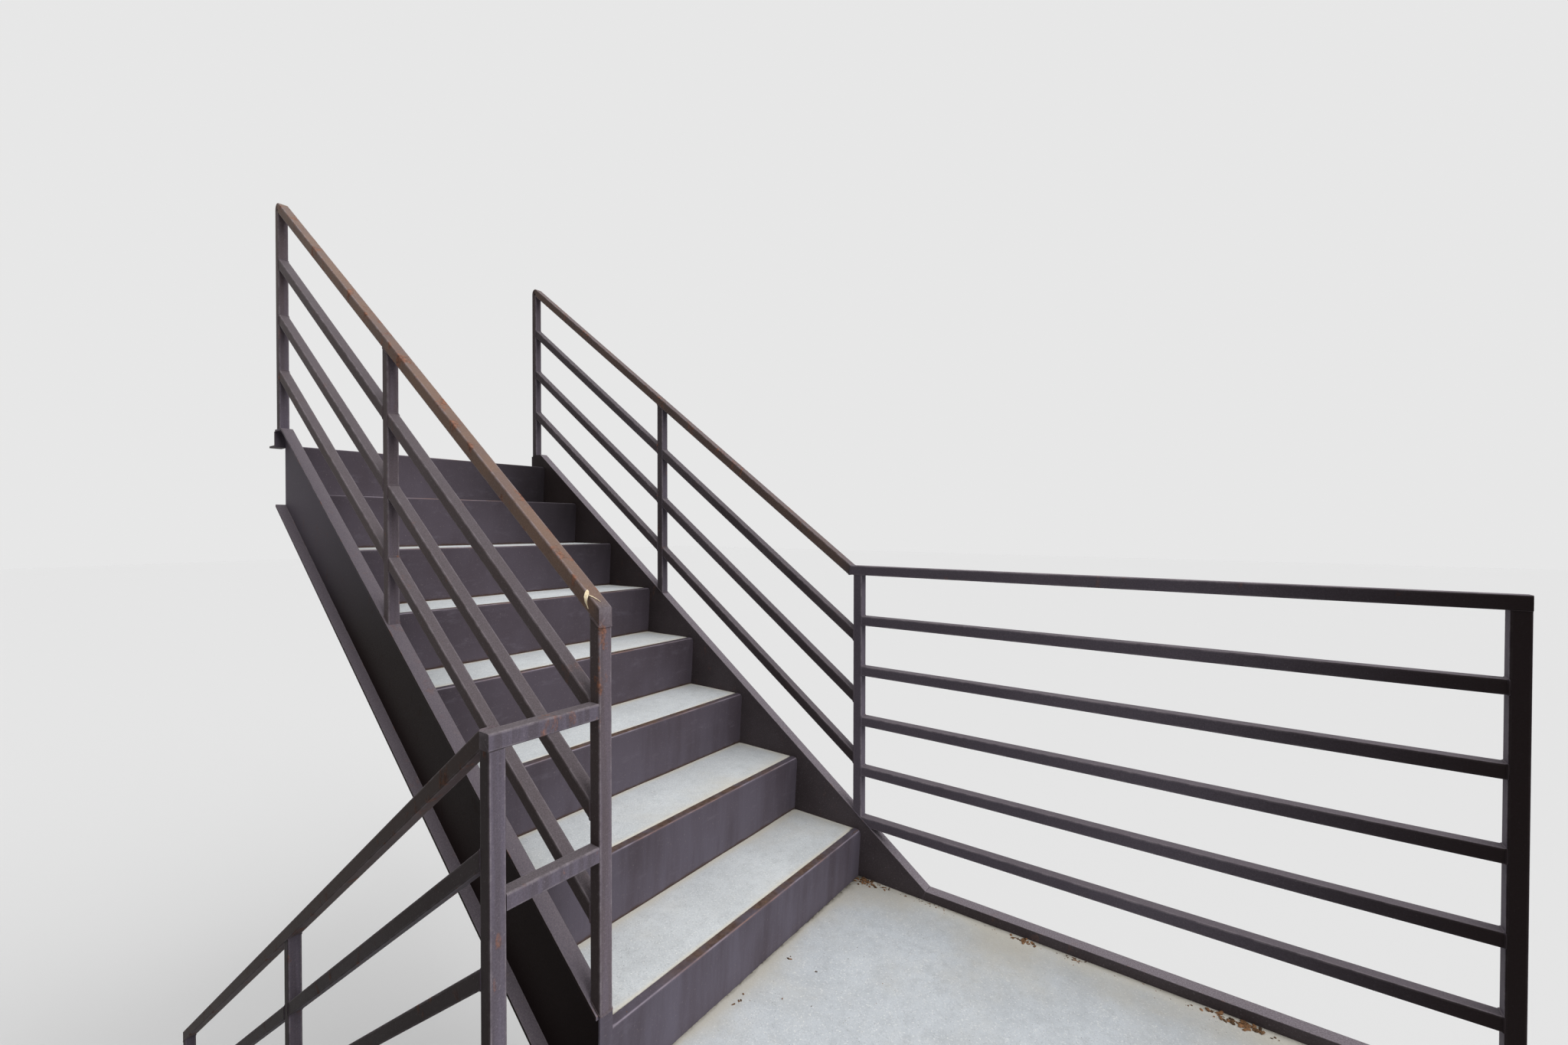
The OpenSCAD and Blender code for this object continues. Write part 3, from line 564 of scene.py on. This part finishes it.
slab_low, slab_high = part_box("landing_slab")
FACE_X = UPPER_X + LEAN
front_upper = UPPER_X + LEAN * FIRST_DROP / RISER
front_well = FACE_X + SHEET
front_lower = lower(riser_u(STEPS, STEPS * RISER) + LIP, 0)[0]
fronts = sorted([float(front_lower), float(front_upper), float(front_well)])
xs = np.concatenate([fronts, [fronts[-1] + 0.006, fronts[-1] + 0.014, fronts[-1] + 0.03],
                     np.linspace(fronts[-1] + 0.05, slab_high.x - 0.03, 60),
                     slab_high.x - np.array([0.012, 0.004, 0.0])])
fine = np.array([0, 0.003, 0.008, 0.018])
ys = np.concatenate([slab_low.y + fine, np.linspace(slab_low.y + 0.04, -IN_Y - 0.03, 34),
                     -IN_Y - fine[:0:-1], np.linspace(-IN_Y, IN_Y, 10), IN_Y + fine[1:],
                     np.linspace(IN_Y + 0.03, slab_high.y - 0.04, 34), slab_high.y - fine[::-1]])
x, y = np.meshgrid(xs, ys, indexing="ij")
cell_x = (xs[:-1] + xs[1:])[:, None] / 2
cell_y = (ys[:-1] + ys[1:])[None] / 2


def slab_front(y):
    """Front edge of the slab at y: the upper flight's riser, the well's plate, the lower lip."""
    return np.where(y > IN_Y, front_upper, np.where(y > -IN_Y, front_well, front_lower))


keep = cell_x > slab_front(cell_y)
line_front = slab_front(y + 1e-6)
to_front = np.maximum(x - line_front, 0)
to_side = np.minimum(y - slab_low.y, slab_high.y - y)
top = slab_high.z - 0.0014 + trowelled(x, y, 77, 0.0006)
top -= 0.0012 * np.exp(-np.minimum(to_front, to_side) / 0.004)
edge = 0.40 * np.exp(-to_side / 0.20) + 0.4 * np.exp(-to_side / 0.008)
edge += 0.6 * np.exp(-to_front / 0.012) + 0.3 * np.exp(-to_front / 0.08)
edge = np.clip(edge + 0.4 * np.exp(-(slab_high.x - x) / 0.03), 0, 1)
landing_concrete = concrete_finish("landing_concrete", (0.625, 0.660, 0.695),
                                   (0.60, 0.56, 0.47), 8.0, 0.9)
piece("landing_slab_fill", [cast(xs, ys, keep, top, slab_low.z, edge)], landing_concrete,
      ["landing_slab"])


# Dirt on the slab.
# Crumbs of leaf and grit washed together in the corner by the first riser and along the
# edge channel, with a few loose ones in front of the step.

BESIDE = 0.006


def crumbs(spots, seed):
    """Closed lumps on a level: each spot is x, y, height, reach along x and y, number and size.
    A lump is a flattened ball of rings whose radius a random factor roughens, turned at random
    about the upright axis and sunk a fifth of its height."""
    rng = np.random.default_rng(seed)
    spots = np.array(spots)
    spots = np.repeat(spots, spots[:, 5].astype(int), axis=0)
    n = len(spots)
    strewn = rng.normal(0, 0.5, (2, n)) * spots[:, 3:5].T
    centre = spots[:, :3] + np.stack([*strewn, np.zeros(n)], -1)
    centre[:, :2] = np.clip(centre[:, :2], (slab_low.x, slab_low.y + BESIDE),
                            (slab_high.x - BESIDE, slab_high.y - BESIDE))
    size = spots[:, 6] * rng.uniform(0.35, 1.0, n)
    tilt = np.linspace(-1.45, 1.45, 5)
    turn = np.linspace(0, 2 * np.pi, 7)[:-1]
    ball = np.stack([np.outer(np.cos(tilt), np.cos(turn)), np.outer(np.cos(tilt), np.sin(turn)),
                     np.outer(np.sin(tilt), np.ones(6))], -1).reshape(-1, 3)
    lumps = ball[None] * rng.uniform(0.7, 1.3, (n, len(ball), 1)) * size[:, None, None] / 2
    lumps *= np.stack([rng.uniform(1, 2.4, n), np.ones(n), rng.uniform(0.3, 0.7, n)], -1)[:, None]
    angle = rng.uniform(0, np.pi, n)[:, None]
    c, s = np.cos(angle), np.sin(angle)
    x, y = lumps[..., 0] * c - lumps[..., 1] * s, lumps[..., 0] * s + lumps[..., 1] * c
    z = lumps[..., 2] - 0.6 * lumps[..., 2].min(axis=1, keepdims=True)
    points = np.stack([x, y, z], -1) + centre[:, None]
    first = np.arange(n)[:, None, None] * len(ball)
    _, one = sweep(ball.reshape(5, 6, 3))
    blocks = [(block + first).reshape(-1, block.shape[1]) for block in one]
    return {"points": points.reshape(-1, 3), "faces": blocks,
            "wear": np.repeat(rng.random(n), len(ball))}


crumb_paint = Finish("crumb_brown")
crumb_shade = crumb_paint.mix(crumb_paint.attribute("wear"), (0.040, 0.026, 0.016),
                              (0.34, 0.17, 0.08))
crumb_grain = crumb_paint.noise(500, 3)
crumb_shade = crumb_paint.mix(crumb_paint.ramp(crumb_grain, 0.4, 0.7, 0, 0.5), crumb_shade,
                              (0.16, 0.12, 0.08))
crumb_brown = crumb_paint.shade(crumb_shade, 0.9, crumb_paint.bump(crumb_grain, 0.0008, 0.5), 0.1)
SUNK = 0.0016
SLAB_Z = LANDING_Z - SUNK
TREAD_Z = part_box("upper_tread_1")[1].z - SUNK
piece("slab_crumbs", [crumbs([
    (0.40, 1.150, SLAB_Z, 0.034, 0.018, 60, 0.009), (0.47, 1.155, SLAB_Z, 0.06, 0.012, 16, 0.005),
    (0.60, 1.158, SLAB_Z, 0.10, 0.014, 22, 0.004), (0.91, 1.156, SLAB_Z, 0.03, 0.014, 34, 0.008),
    (1.04, 1.160, SLAB_Z, 0.04, 0.010, 16, 0.005), (1.41, 1.153, SLAB_Z, 0.07, 0.016, 70, 0.009),
    (1.00, 1.150, SLAB_Z, 0.70, 0.018, 46, 0.003), (0.395, 0.50, SLAB_Z, 0.010, 0.035, 7, 0.006),
    (0.41, 0.699, SLAB_Z, 0.006, 0.010, 5, 0.006), (0.499, 0.698, SLAB_Z, 0.002, 0.002, 1, 0.008),
    (0.484, 0.566, SLAB_Z, 0.004, 0.004, 2, 0.005), (0.60, 0.70, SLAB_Z, 0.16, 0.34, 26, 0.0022),
    (0.40, -1.145, SLAB_Z, 0.04, 0.014, 20, 0.006), (1.20, -1.155, SLAB_Z, 0.60, 0.012, 40, 0.005),
    (1.84, 0.0, SLAB_Z, 0.012, 1.0, 50, 0.005), (0.70, -0.50, SLAB_Z, 0.40, 0.50, 24, 0.0022),
    (0.291, 0.624, TREAD_Z, 0.002, 0.002, 1, 0.005), (0.253, 0.326, TREAD_Z, 0.01, 0.02, 3, 0.004),
    (0.11, 1.14, TREAD_Z, 0.012, 0.02, 12, 0.004), (0.10, 0.65, TREAD_Z, 0.004, 0.45, 26, 0.003)],
    9)], crumb_brown)


# Rails.
# Square tube, cut to length, butted and welded: level guards with six bars, sloping rails
# with a handrail and three bars, a post every metre, all standing on the outward flanges.

TUBE = 0.03175
START_X, END_X = cad_box[0][0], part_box("landing_end_channel")[1].x
EDGE_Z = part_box("landing_edge_wall_side")[1].z
GUARD_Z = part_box("landing_rail_wall_side")[1].z
SLOPE = RISER / GOING
UPRIGHT = np.hypot(1, SLOPE)
TUBE_V, PITCH = TUBE * UPRIGHT, 0.1707
PITCH_V = PITCH * UPRIGHT


def section(width, height, radius, inset=0.0025, count=5):
    """Rectangle with round corners, as across and along offsets and each point's wear: 1 on
    the corners and 0 on the flats from a little way in."""
    turn = np.linspace(0, np.pi / 2, count)
    across, along, wear = [], [], []
    for quarter, (sx, sy) in enumerate(((1, 1), (-1, 1), (-1, -1), (1, -1))):
        angle = turn + quarter * np.pi / 2
        px = sx * (width / 2 - radius) + radius * np.cos(angle)
        py = sy * (height / 2 - radius) + radius * np.sin(angle)
        start, end = angle[0] + np.pi / 2, angle[-1] + np.pi / 2
        across += [px[0] - inset * np.cos(start), *px, px[-1] + inset * np.cos(end)]
        along += [py[0] - inset * np.sin(start), *py, py[-1] + inset * np.sin(end)]
        wear += [0.25, *np.ones(count), 0.25]
    return np.array(across), np.array(along), np.array(wear)


tube_across, tube_along, tube_wear = section(TUBE, TUBE, 0.003)


def tube(path, y, cuts, rust=0.0, film=0.0):
    """Tube in a plane of constant y, carried along a path of x and z on its centre line. Each
    ring lies in a cut: a given direction at the two ends, and the bisector at a bend. A point
    of the section moves along the run until it meets the cut."""
    path = np.asarray(path, float)
    run = np.diff(path, axis=0)
    run /= np.linalg.norm(run, axis=1)[:, None]
    rings = []
    for i, centre in enumerate(path):
        step = run[min(i, len(run) - 1)]
        before = run[max(i - 1, 0)]
        if i == 0 or i == len(path) - 1:
            cut = np.array(cuts[0 if i == 0 else 1], float)
        else:
            cut = np.array([-step[1], step[0]]) + np.array([-before[1], before[0]])
        side = np.array([-before[1], before[0]]) if i else np.array([-step[1], step[0]])
        cut /= cut @ side
        spot = centre + tube_along[:, None] * cut
        rings.append(np.stack([spot[:, 0], y + tube_across, spot[:, 1]], -1))
    points, faces = sweep(rings)
    rust, film = (np.repeat(np.broadcast_to(v, len(path)), len(tube_wear)) for v in (rust, film))
    return {"points": points, "faces": faces, "wear": np.tile(tube_wear, len(path)),
            "rust": rust, "film": film}


def bead(spot, cut, y, seed, size=0.0024):
    """Weld bead round the end of a tube: a lumpy ring that follows the tube's section in the
    plane of its cut, five points round, flattened where it would pass the part's own limits."""
    rng = np.random.default_rng(seed)
    across, along, _ = section(TUBE, TUBE, 0.004, 0.006, 3)
    cut = np.array(cut, float)
    out = np.stack([across, along], -1)
    out /= np.linalg.norm(out, axis=1)[:, None]
    lump = size * (0.75 + 0.5 * rng.random(len(across)))[:, None]
    turn = np.linspace(0, 2 * np.pi, 6)[:-1]
    normal = np.array([cut[1], -cut[0]])
    normal /= np.hypot(*normal)
    reach = np.cos(turn) * lump
    lift = np.sin(turn) * lump
    a = across[:, None] + reach * out[:, :1]
    b = along[:, None] + reach * out[:, 1:]
    x = np.clip(spot[0] + b * cut[0] + lift * normal[0], START_X, END_X)
    z = np.maximum(spot[1] + b * cut[1] + lift * normal[1], 0.0)
    points, faces = sweep(np.stack([x, y + a, z], -1), loop=True)
    return {"points": points, "faces": faces, "wear": 0.3, "rust": 0.12}


def nose(u):
    """Line through the nosings: one riser up at the first, then up by the slope."""
    return RISER + (np.asarray(u, float) + LEAN) * SLOPE


PLUMB, LEVEL = (0.0, 1.0), (1.0, 0.0)
UPPER_MID, LOWER_MID, LOW_POST, CUT_UP = 0.963, 0.788, -0.392, 0.067
UPPER_RAIL, LOWER_RAIL, RETURN_HIGH = 0.869, 0.845, 0.833
# Painted shade: each rail paint darkens its faces that look across the flight, the rails lower
# down and the landing guard towards its far end.
rail_paint = old_paint("rail_paint", dusty=0.75, seed=20.0, shade_tones=[(2, 1.9, 2.7, 0.5, 1.0)])
guard_paint = old_paint("guard_paint", dusty=0.62, seed=26.0,
                        shade_tones=[(0, 1.15, 1.90, 1.0, 0.10)], lift=0.5)
low_paint = old_paint("low_rail_paint", dusty=0.6, seed=31.0, shade_tones=[(2, 1.2, 2.0, 0.28, 0.34)])


def sloping(flight, u0, u1, above, y, rust):
    """Bar between two upright cuts, its top edge a given height above the nosings."""
    ends = [flight(u, nose(u) + above - TUBE_V / 2) for u in (u0, u1)]
    return tube(ends, y, (PLUMB, PLUMB), rust)


def upright(flight, u, foot, head, y, rust):
    """Post whose foot and head are heights at its two sides, each a function of u."""
    us = np.array([u, u + TUBE])
    x0, z0 = flight(us, foot(us))
    x1, z1 = flight(us, head(us))
    cut0 = (x0[1] - x0[0], z0[1] - z0[0])
    cut1 = (x1[1] - x1[0], z1[1] - z1[0])
    return tube([(x0.mean(), z0.mean()), (x1.mean(), z1.mean())], y, (cut0, cut1), rust)


def stringer_edge(u):
    """Top edge of a stringer, a given height above the nosings."""
    return nose(u) + OVER_NOSE


def upper_level(u):
    """Level on which the bent handrails of the upper flight end."""
    return np.full_like(u, STEPS * RISER + CUT_UP)


def ground(u):
    """The floor, at height 0."""
    return np.zeros_like(u)


def under_handrail(height):
    """Underside of a handrail whose top is a given height above the nosings."""
    return lambda u: nose(u) + height - TUBE_V


def sloping_rail(flight, y, height, posts, u_ends, handrail, feet, rust, post_rust):
    """Bars in two bays, posts, and a handrail over them, with a bead at every joint."""
    parts = []
    seed = int(abs(y) * 1e4) + int(height * 1e3)
    for bay in range(2):
        u0, u1 = u_ends[bay]
        for i in (1, 2, 3):
            above = height - i * PITCH_V
            parts.append(sloping(flight, u0, u1, above, y, rust))
            for u in (u0, u1):
                spot = flight(u, nose(u) + above - TUBE_V / 2)
                parts.append(bead(spot, (0, UPRIGHT), y, seed=seed + i))
                seed += 7
    for u, foot, post in zip(posts, feet, post_rust):
        parts.append(upright(flight, u, foot, under_handrail(height), y, post))
        us = np.array([u, u + TUBE])
        for line in (foot, under_handrail(height)):
            x, z = flight(us, line(us))
            cut = np.array([x[1] - x[0], z[1] - z[0]]) / TUBE
            parts.append(bead((x.mean(), z.mean()), cut, y, seed=seed + 3))
            seed += 11
    parts += handrail
    return parts


wall_y, well_y = OUT_Y + TUBE / 2, IN_Y - TUBE / 2
low_bars = ((-LEAN + TUBE, UPPER_MID), (UPPER_MID + TUBE, RUN_END - TUBE))
BEND = 0.016
bent_film = np.array([0.2, 1, *np.linspace(1, 0.3, 9), 0])


def bent_handrail(start):
    """Centre line of a handrail from its start up the slope, round a bend and down its top post,
    with one more point 50 mm from the start, where its brown film begins."""
    u = RUN_END - TUBE / 2
    corner = np.array(upper(u, nose(u) + UPPER_RAIL - TUBE_V / 2))
    rise = np.array([1.0, -SLOPE]) / UPRIGHT
    bend = soft_corner(corner + BEND * rise, corner, corner - (0, BEND), 9)
    return [start, start - 0.05 * rise, *bend, upper(u, upper_level(u))]


low_end = np.array(upper(-LEAN, nose(-LEAN) + UPPER_RAIL - TUBE_V / 2))
well_rail = sloping_rail(
    upper, well_y, UPPER_RAIL, (-LEAN, UPPER_MID), low_bars,
    [tube(bent_handrail(low_end), well_y, (PLUMB, LEVEL), 0.3 * bent_film, bent_film)],
    (stringer_edge, stringer_edge), 0.03, ([-0.45, 0.35], 0.06))
for part in well_rail[:-1]:
    part["film"] = 0.14
piece("upper_rail_well_tubes", well_rail, rail_paint, ["upper_rail_well_side"])

# The wall side handrail and the level guard's top rail meet in a mitre.
guard_w = GUARD_Z - UPPER_Z
kink_out = np.array(upper((guard_w - UPPER_RAIL - RISER) / SLOPE - LEAN, guard_w))
kink_in = np.array(upper((guard_w - TUBE + TUBE_V - UPPER_RAIL - RISER) / SLOPE - LEAN,
                         guard_w - TUBE))
kink, mitre = (kink_out + kink_in) / 2, kink_out - kink_in
wall_rail = sloping_rail(
    upper, wall_y, UPPER_RAIL, (UPPER_MID,), low_bars,
    [tube(bent_handrail(kink), wall_y, (mitre, LEVEL), 0.15 * bent_film, 0.5 * bent_film),
     bead(kink, mitre / TUBE, wall_y, seed=5, size=0.0018)], (stringer_edge,), 0.02, (0.04,))
piece("upper_rail_wall_tubes", wall_rail, rail_paint, ["upper_rail_wall_side"])


def level_guard(x0, x1, y, foot_line, top, lowest, seed):
    """Level bars between two posts, beads at their ends, and a top rail over both posts."""
    parts = []
    for i in range(1, 6):
        z = GUARD_Z - i * PITCH - TUBE / 2
        ends = lowest if i == 5 else [((x0, z), PLUMB), ((x1, z), PLUMB)]
        parts.append(tube([ends[0][0], ends[1][0]], y, (ends[0][1], ends[1][1])))
        for number, (spot, cut) in enumerate(ends):
            parts.append(bead(spot, np.array(cut) / abs(cut[1]), y, seed=seed + 3 * i + number))
    for foot, cut, x in foot_line:
        parts.append(tube([foot, (x, GUARD_Z - TUBE)], y, (cut, LEVEL)))
        parts.append(bead((x, GUARD_Z - TUBE), (1, 0), y, seed=seed + 31, size=0.0012))
        parts.append(bead(foot, np.array(cut) / abs(cut[0]), y, seed=seed + 37))
    return parts + top


end_post = END_X - TUBE / 2
newel_x = FACE_X - TUBE / 2
newel_us = np.array([-LEAN, -LEAN + TUBE])
foot_x, foot_z = upper(newel_us, stringer_edge(newel_us))
low_z = GUARD_Z - 5 * PITCH - TUBE / 2
low_w = np.array([low_z - UPPER_Z + TUBE / 2, low_z - UPPER_Z - TUBE / 2])
low_u = (low_w - OVER_NOSE - RISER) / SLOPE - LEAN
low_x, low_zs = upper(low_u, low_w)
flange_cut = (low_x[0] - low_x[1], low_zs[0] - low_zs[1])
wall_guard = level_guard(
    FACE_X, END_X - TUBE, wall_y,
    (((foot_x.mean(), foot_z.mean()), (foot_x[1] - foot_x[0], foot_z[1] - foot_z[0]), newel_x),
     ((end_post, EDGE_Z), LEVEL, end_post)),
    [tube([kink, (END_X, GUARD_Z - TUBE / 2)], wall_y, (mitre, PLUMB), 0.05)],
    [((low_x.mean(), low_z), flange_cut), ((END_X - TUBE, low_z), PLUMB)], 100)
piece("landing_rail_wall_tubes", wall_guard, guard_paint,
      ["landing_rail_wall_side"])

outer_guard = level_guard(
    FACE_X, END_X - TUBE, -wall_y,
    (((newel_x, EDGE_Z), LEVEL, newel_x), ((end_post, EDGE_Z), LEVEL, end_post)),
    [tube([(FACE_X - TUBE, GUARD_Z - TUBE / 2), (END_X, GUARD_Z - TUBE / 2)], -wall_y,
          (PLUMB, PLUMB), 0.1)],
    [((FACE_X, low_z), PLUMB), ((END_X - TUBE, low_z), PLUMB)], 160)
piece("landing_rail_outer_tubes", outer_guard, guard_paint,
      ["landing_rail_outer_side"])

lower_back = float(FACE_X - LOWER_X)
lower_newel = lower_back - TUBE
lower_bays = ((LOW_POST + TUBE, LOWER_MID), (LOWER_MID + TUBE, lower_newel))
lower_handrail = [lower(u, nose(u) + LOWER_RAIL - TUBE_V / 2) for u in (LOW_POST, lower_newel)]
for name, node, y, rust in (("lower_rail_well_tubes", "lower_rail_well_side", -well_y, 0.08),
                            ("lower_rail_outer_tubes", "lower_rail_outer_side", -wall_y, 0.05)):
    parts = sloping_rail(lower, y, LOWER_RAIL, (LOW_POST, LOWER_MID), lower_bays,
                         [tube(lower_handrail, y, (PLUMB, PLUMB), rust + 0.1, 0.3)],
                         (ground, stringer_edge), rust, (rust, rust))
    if y == -well_y:
        top = LANDING_Z + RETURN_HIGH - TUBE
        parts.append(upright(lower, lower_newel, stringer_edge, lambda u: np.full_like(u, top),
                             y, 0.08))
    piece(name, parts, low_paint, [node])


# Scrap on the handrail.
# A crumpled bit of old cream tape, stuck on the near edge of the well side handrail just above
# its end: one flake curls out from the near side, and a thin end lies across the top.

def ribbon(path, widths):
    """Thin closed strip along a path of u, depth from the rail's near face and height over its
    top: flat oblongs of the given widths, carried along with their long side on the run."""
    u, inward, above = np.array(path).T
    x, z = upper(u, nose(u) + UPPER_RAIL + above)
    centre = np.stack([x, well_y - TUBE / 2 + inward, z], -1)
    along = np.array([1.0, 0.0, -SLOPE]) / UPRIGHT
    step = np.gradient(centre, axis=0)
    step /= np.linalg.norm(step, axis=1)[:, None]
    off = np.cross(step, along)
    off /= np.linalg.norm(off, axis=1)[:, None]
    half = np.array(widths)[:, None] / 2 * along
    lift = off * TAPE / 2
    points, faces = sweep(np.stack([centre + half + lift, centre - half + lift,
                                    centre - half - lift, centre + half - lift], 1))
    return {"points": points, "faces": faces}


TAPE = 0.0006
tape = Finish("old_tape")
tape_shade = tape.mix(tape.ramp(tape.noise(260, 4), 0.35, 0.65), (0.90, 0.80, 0.58),
                      (0.74, 0.58, 0.36))
old_tape = tape.shade(tape_shade, 0.7, tape.bump(tape.noise(400, 3), 0.0006, 0.5), 0.2)
piece("handrail_scrap", [
    ribbon([(0.031, 0.0060, 0.0012), (0.026, 0.0010, 0.0024), (0.022, -0.0050, 0.0000),
            (0.019, -0.0095, -0.005), (0.016, -0.0105, -0.012), (0.013, -0.0080, -0.020)],
           [0.004, 0.011, 0.013, 0.012, 0.009, 0.003]),
    ribbon([(0.019, -0.0008, 0.0012), (0.012, 0.0045, 0.0026), (0.005, 0.0085, 0.0034),
            (0.000, 0.0130, 0.0018)], [0.004, 0.0035, 0.003, 0.0012])], old_tape)


# Well guard.
# Two level tubes join the two newels across the well, the upper one laid over the lower
# newel, and an upright kick plate closes the edge of the landing between them.

def crossbar(z, y0, y1, rust):
    """Level tube along y: the same section carried between two square cuts."""
    rings = [np.stack([newel_x + tube_along, np.full_like(tube_across, y), z + tube_across], -1)
             for y in (y0, y1)]
    points, faces = sweep(rings)
    return {"points": points, "faces": faces, "wear": np.tile(tube_wear, 2), "rust": rust}


RETURN_LOW = 0.543
high_z, second_z = (LANDING_Z + height - TUBE / 2 for height in (RETURN_HIGH, RETURN_LOW))
plate_across, plate_along, plate_wear = section(EDGE_Z - PAN_Z, SHEET, 0.0012, 0.001)
plate_z = (EDGE_Z + PAN_Z) / 2
plate = [np.stack([FACE_X + SHEET / 2 + plate_along, np.full_like(plate_along, y),
                   plate_z + plate_across], -1) for y in (-IN_Y, IN_Y)]
plate_points, plate_faces = sweep(plate)
well_guard = [crossbar(high_z, -IN_Y, IN_Y - TUBE, 0.07),
              crossbar(second_z, -IN_Y + TUBE, IN_Y - TUBE, 0.05),
              {"points": plate_points, "faces": plate_faces, "wear": np.tile(plate_wear, 2)}]
piece("well_guard_tubes", well_guard, rail_paint, ["well_guard"])


# Floor, light and camera.
# A plain pale floor under soft light: a broad key over the landing's end, a top light and
# a weak light from the foot of the flights.

BACKDROP, FLOOR, BOUNCE = (0.80, 0.80, 0.80), (0.74, 0.74, 0.74), (0.25, 0.25, 0.25)
AMBIENT, FLOOR_Z, HALF = 0.23, -0.002, 60
floor_mesh = bpy.data.meshes.new("floor")
floor_mesh.from_pydata([(x, y, FLOOR_Z) for x, y in ((-HALF, -HALF), (HALF, -HALF), (HALF, HALF),
                                                     (-HALF, HALF))], [], [(0, 1, 2, 3)])
floor = bpy.data.objects.new("floor", floor_mesh)
bpy.context.scene.collection.objects.link(floor)


def seen(tree):
    """1 for what the camera sees, straight or mirrored, 0 for light that falls on the object."""
    path = tree.nodes.new("ShaderNodeLightPath")
    rays = [path.outputs["Is %s Ray" % kind] for kind in ("Camera", "Glossy", "Transmission")]
    for ray in rays[1:]:
        most = tree.nodes.new("ShaderNodeMath")
        most.operation = "MAXIMUM"
        tree.links.new(rays[0], most.inputs[0])
        tree.links.new(ray, most.inputs[1])
        rays[0] = most.outputs[0]
    return rays[0]


floor_paint = Finish("floor_paint")
pale = floor_paint.mix(seen(floor_paint.tree), BOUNCE, FLOOR)
floor_mesh.materials.append(floor_paint.shade(pale, 0.9))

world = bpy.data.worlds.new("studio")
bpy.context.scene.world = world
world.use_nodes = True
tree = world.node_tree
tree.nodes.clear()
ambient = tree.nodes.new("ShaderNodeBackground")
ambient.inputs["Color"].default_value = (1, 1, 1, 1)
ambient.inputs["Strength"].default_value = AMBIENT
backdrop = tree.nodes.new("ShaderNodeBackground")
backdrop.inputs["Color"].default_value = (*BACKDROP, 1)
blend = tree.nodes.new("ShaderNodeMixShader")
output = tree.nodes.new("ShaderNodeOutputWorld")
tree.links.new(seen(tree), blend.inputs[0])
tree.links.new(ambient.outputs[0], blend.inputs[1])
tree.links.new(backdrop.outputs[0], blend.inputs[2])
tree.links.new(blend.outputs[0], output.inputs[0])


def soft_lamp(name, source, strength, spread):
    """Far lamp whose light comes from a patch of sky a given number of degrees wide."""
    data = bpy.data.lights.new(name, "SUN")
    data.energy = strength
    data.angle = np.radians(spread)
    lamp = bpy.data.objects.new(name, data)
    lamp.rotation_euler = Vector(source).to_track_quat("Z", "Y").to_euler()
    bpy.context.scene.collection.objects.link(lamp)


soft_lamp("key", (0.80, 0.05, 0.62), 2.2, 45)
soft_lamp("top", (0.05, 0.10, 1.0), 1.1, 80)
soft_lamp("far", (-0.80, 0.10, 0.55), 0.30, 60)

# The fitted camera: pixels for width, focal length and shift, metres for the eye, radians.
WIDE, FOCAL, SHIFT, SENSOR = 2048, 817.881, 13.626, 36
EYE, TURN, DIP, ROLLED = (1.40940, -0.69462, 2.71563), 0.9392, 0.0113, 0.0011
camera_data = bpy.data.cameras.new("camera")
camera_data.sensor_width = SENSOR
camera_data.lens = SENSOR * FOCAL / WIDE
camera_data.shift_y = SHIFT / WIDE
camera_data.clip_start = 0.01
camera = bpy.data.objects.new("camera", camera_data)
camera.matrix_world = (Matrix.Translation(EYE) @ Matrix.Rotation(np.pi / 2 - TURN, 4, "Z")
                       @ Matrix.Rotation(np.pi / 2 - DIP, 4, "X")
                       @ Matrix.Rotation(ROLLED, 4, "Z"))
bpy.context.scene.collection.objects.link(camera)
bpy.context.scene.camera = camera
bpy.context.scene.view_settings.view_transform = "Standard"
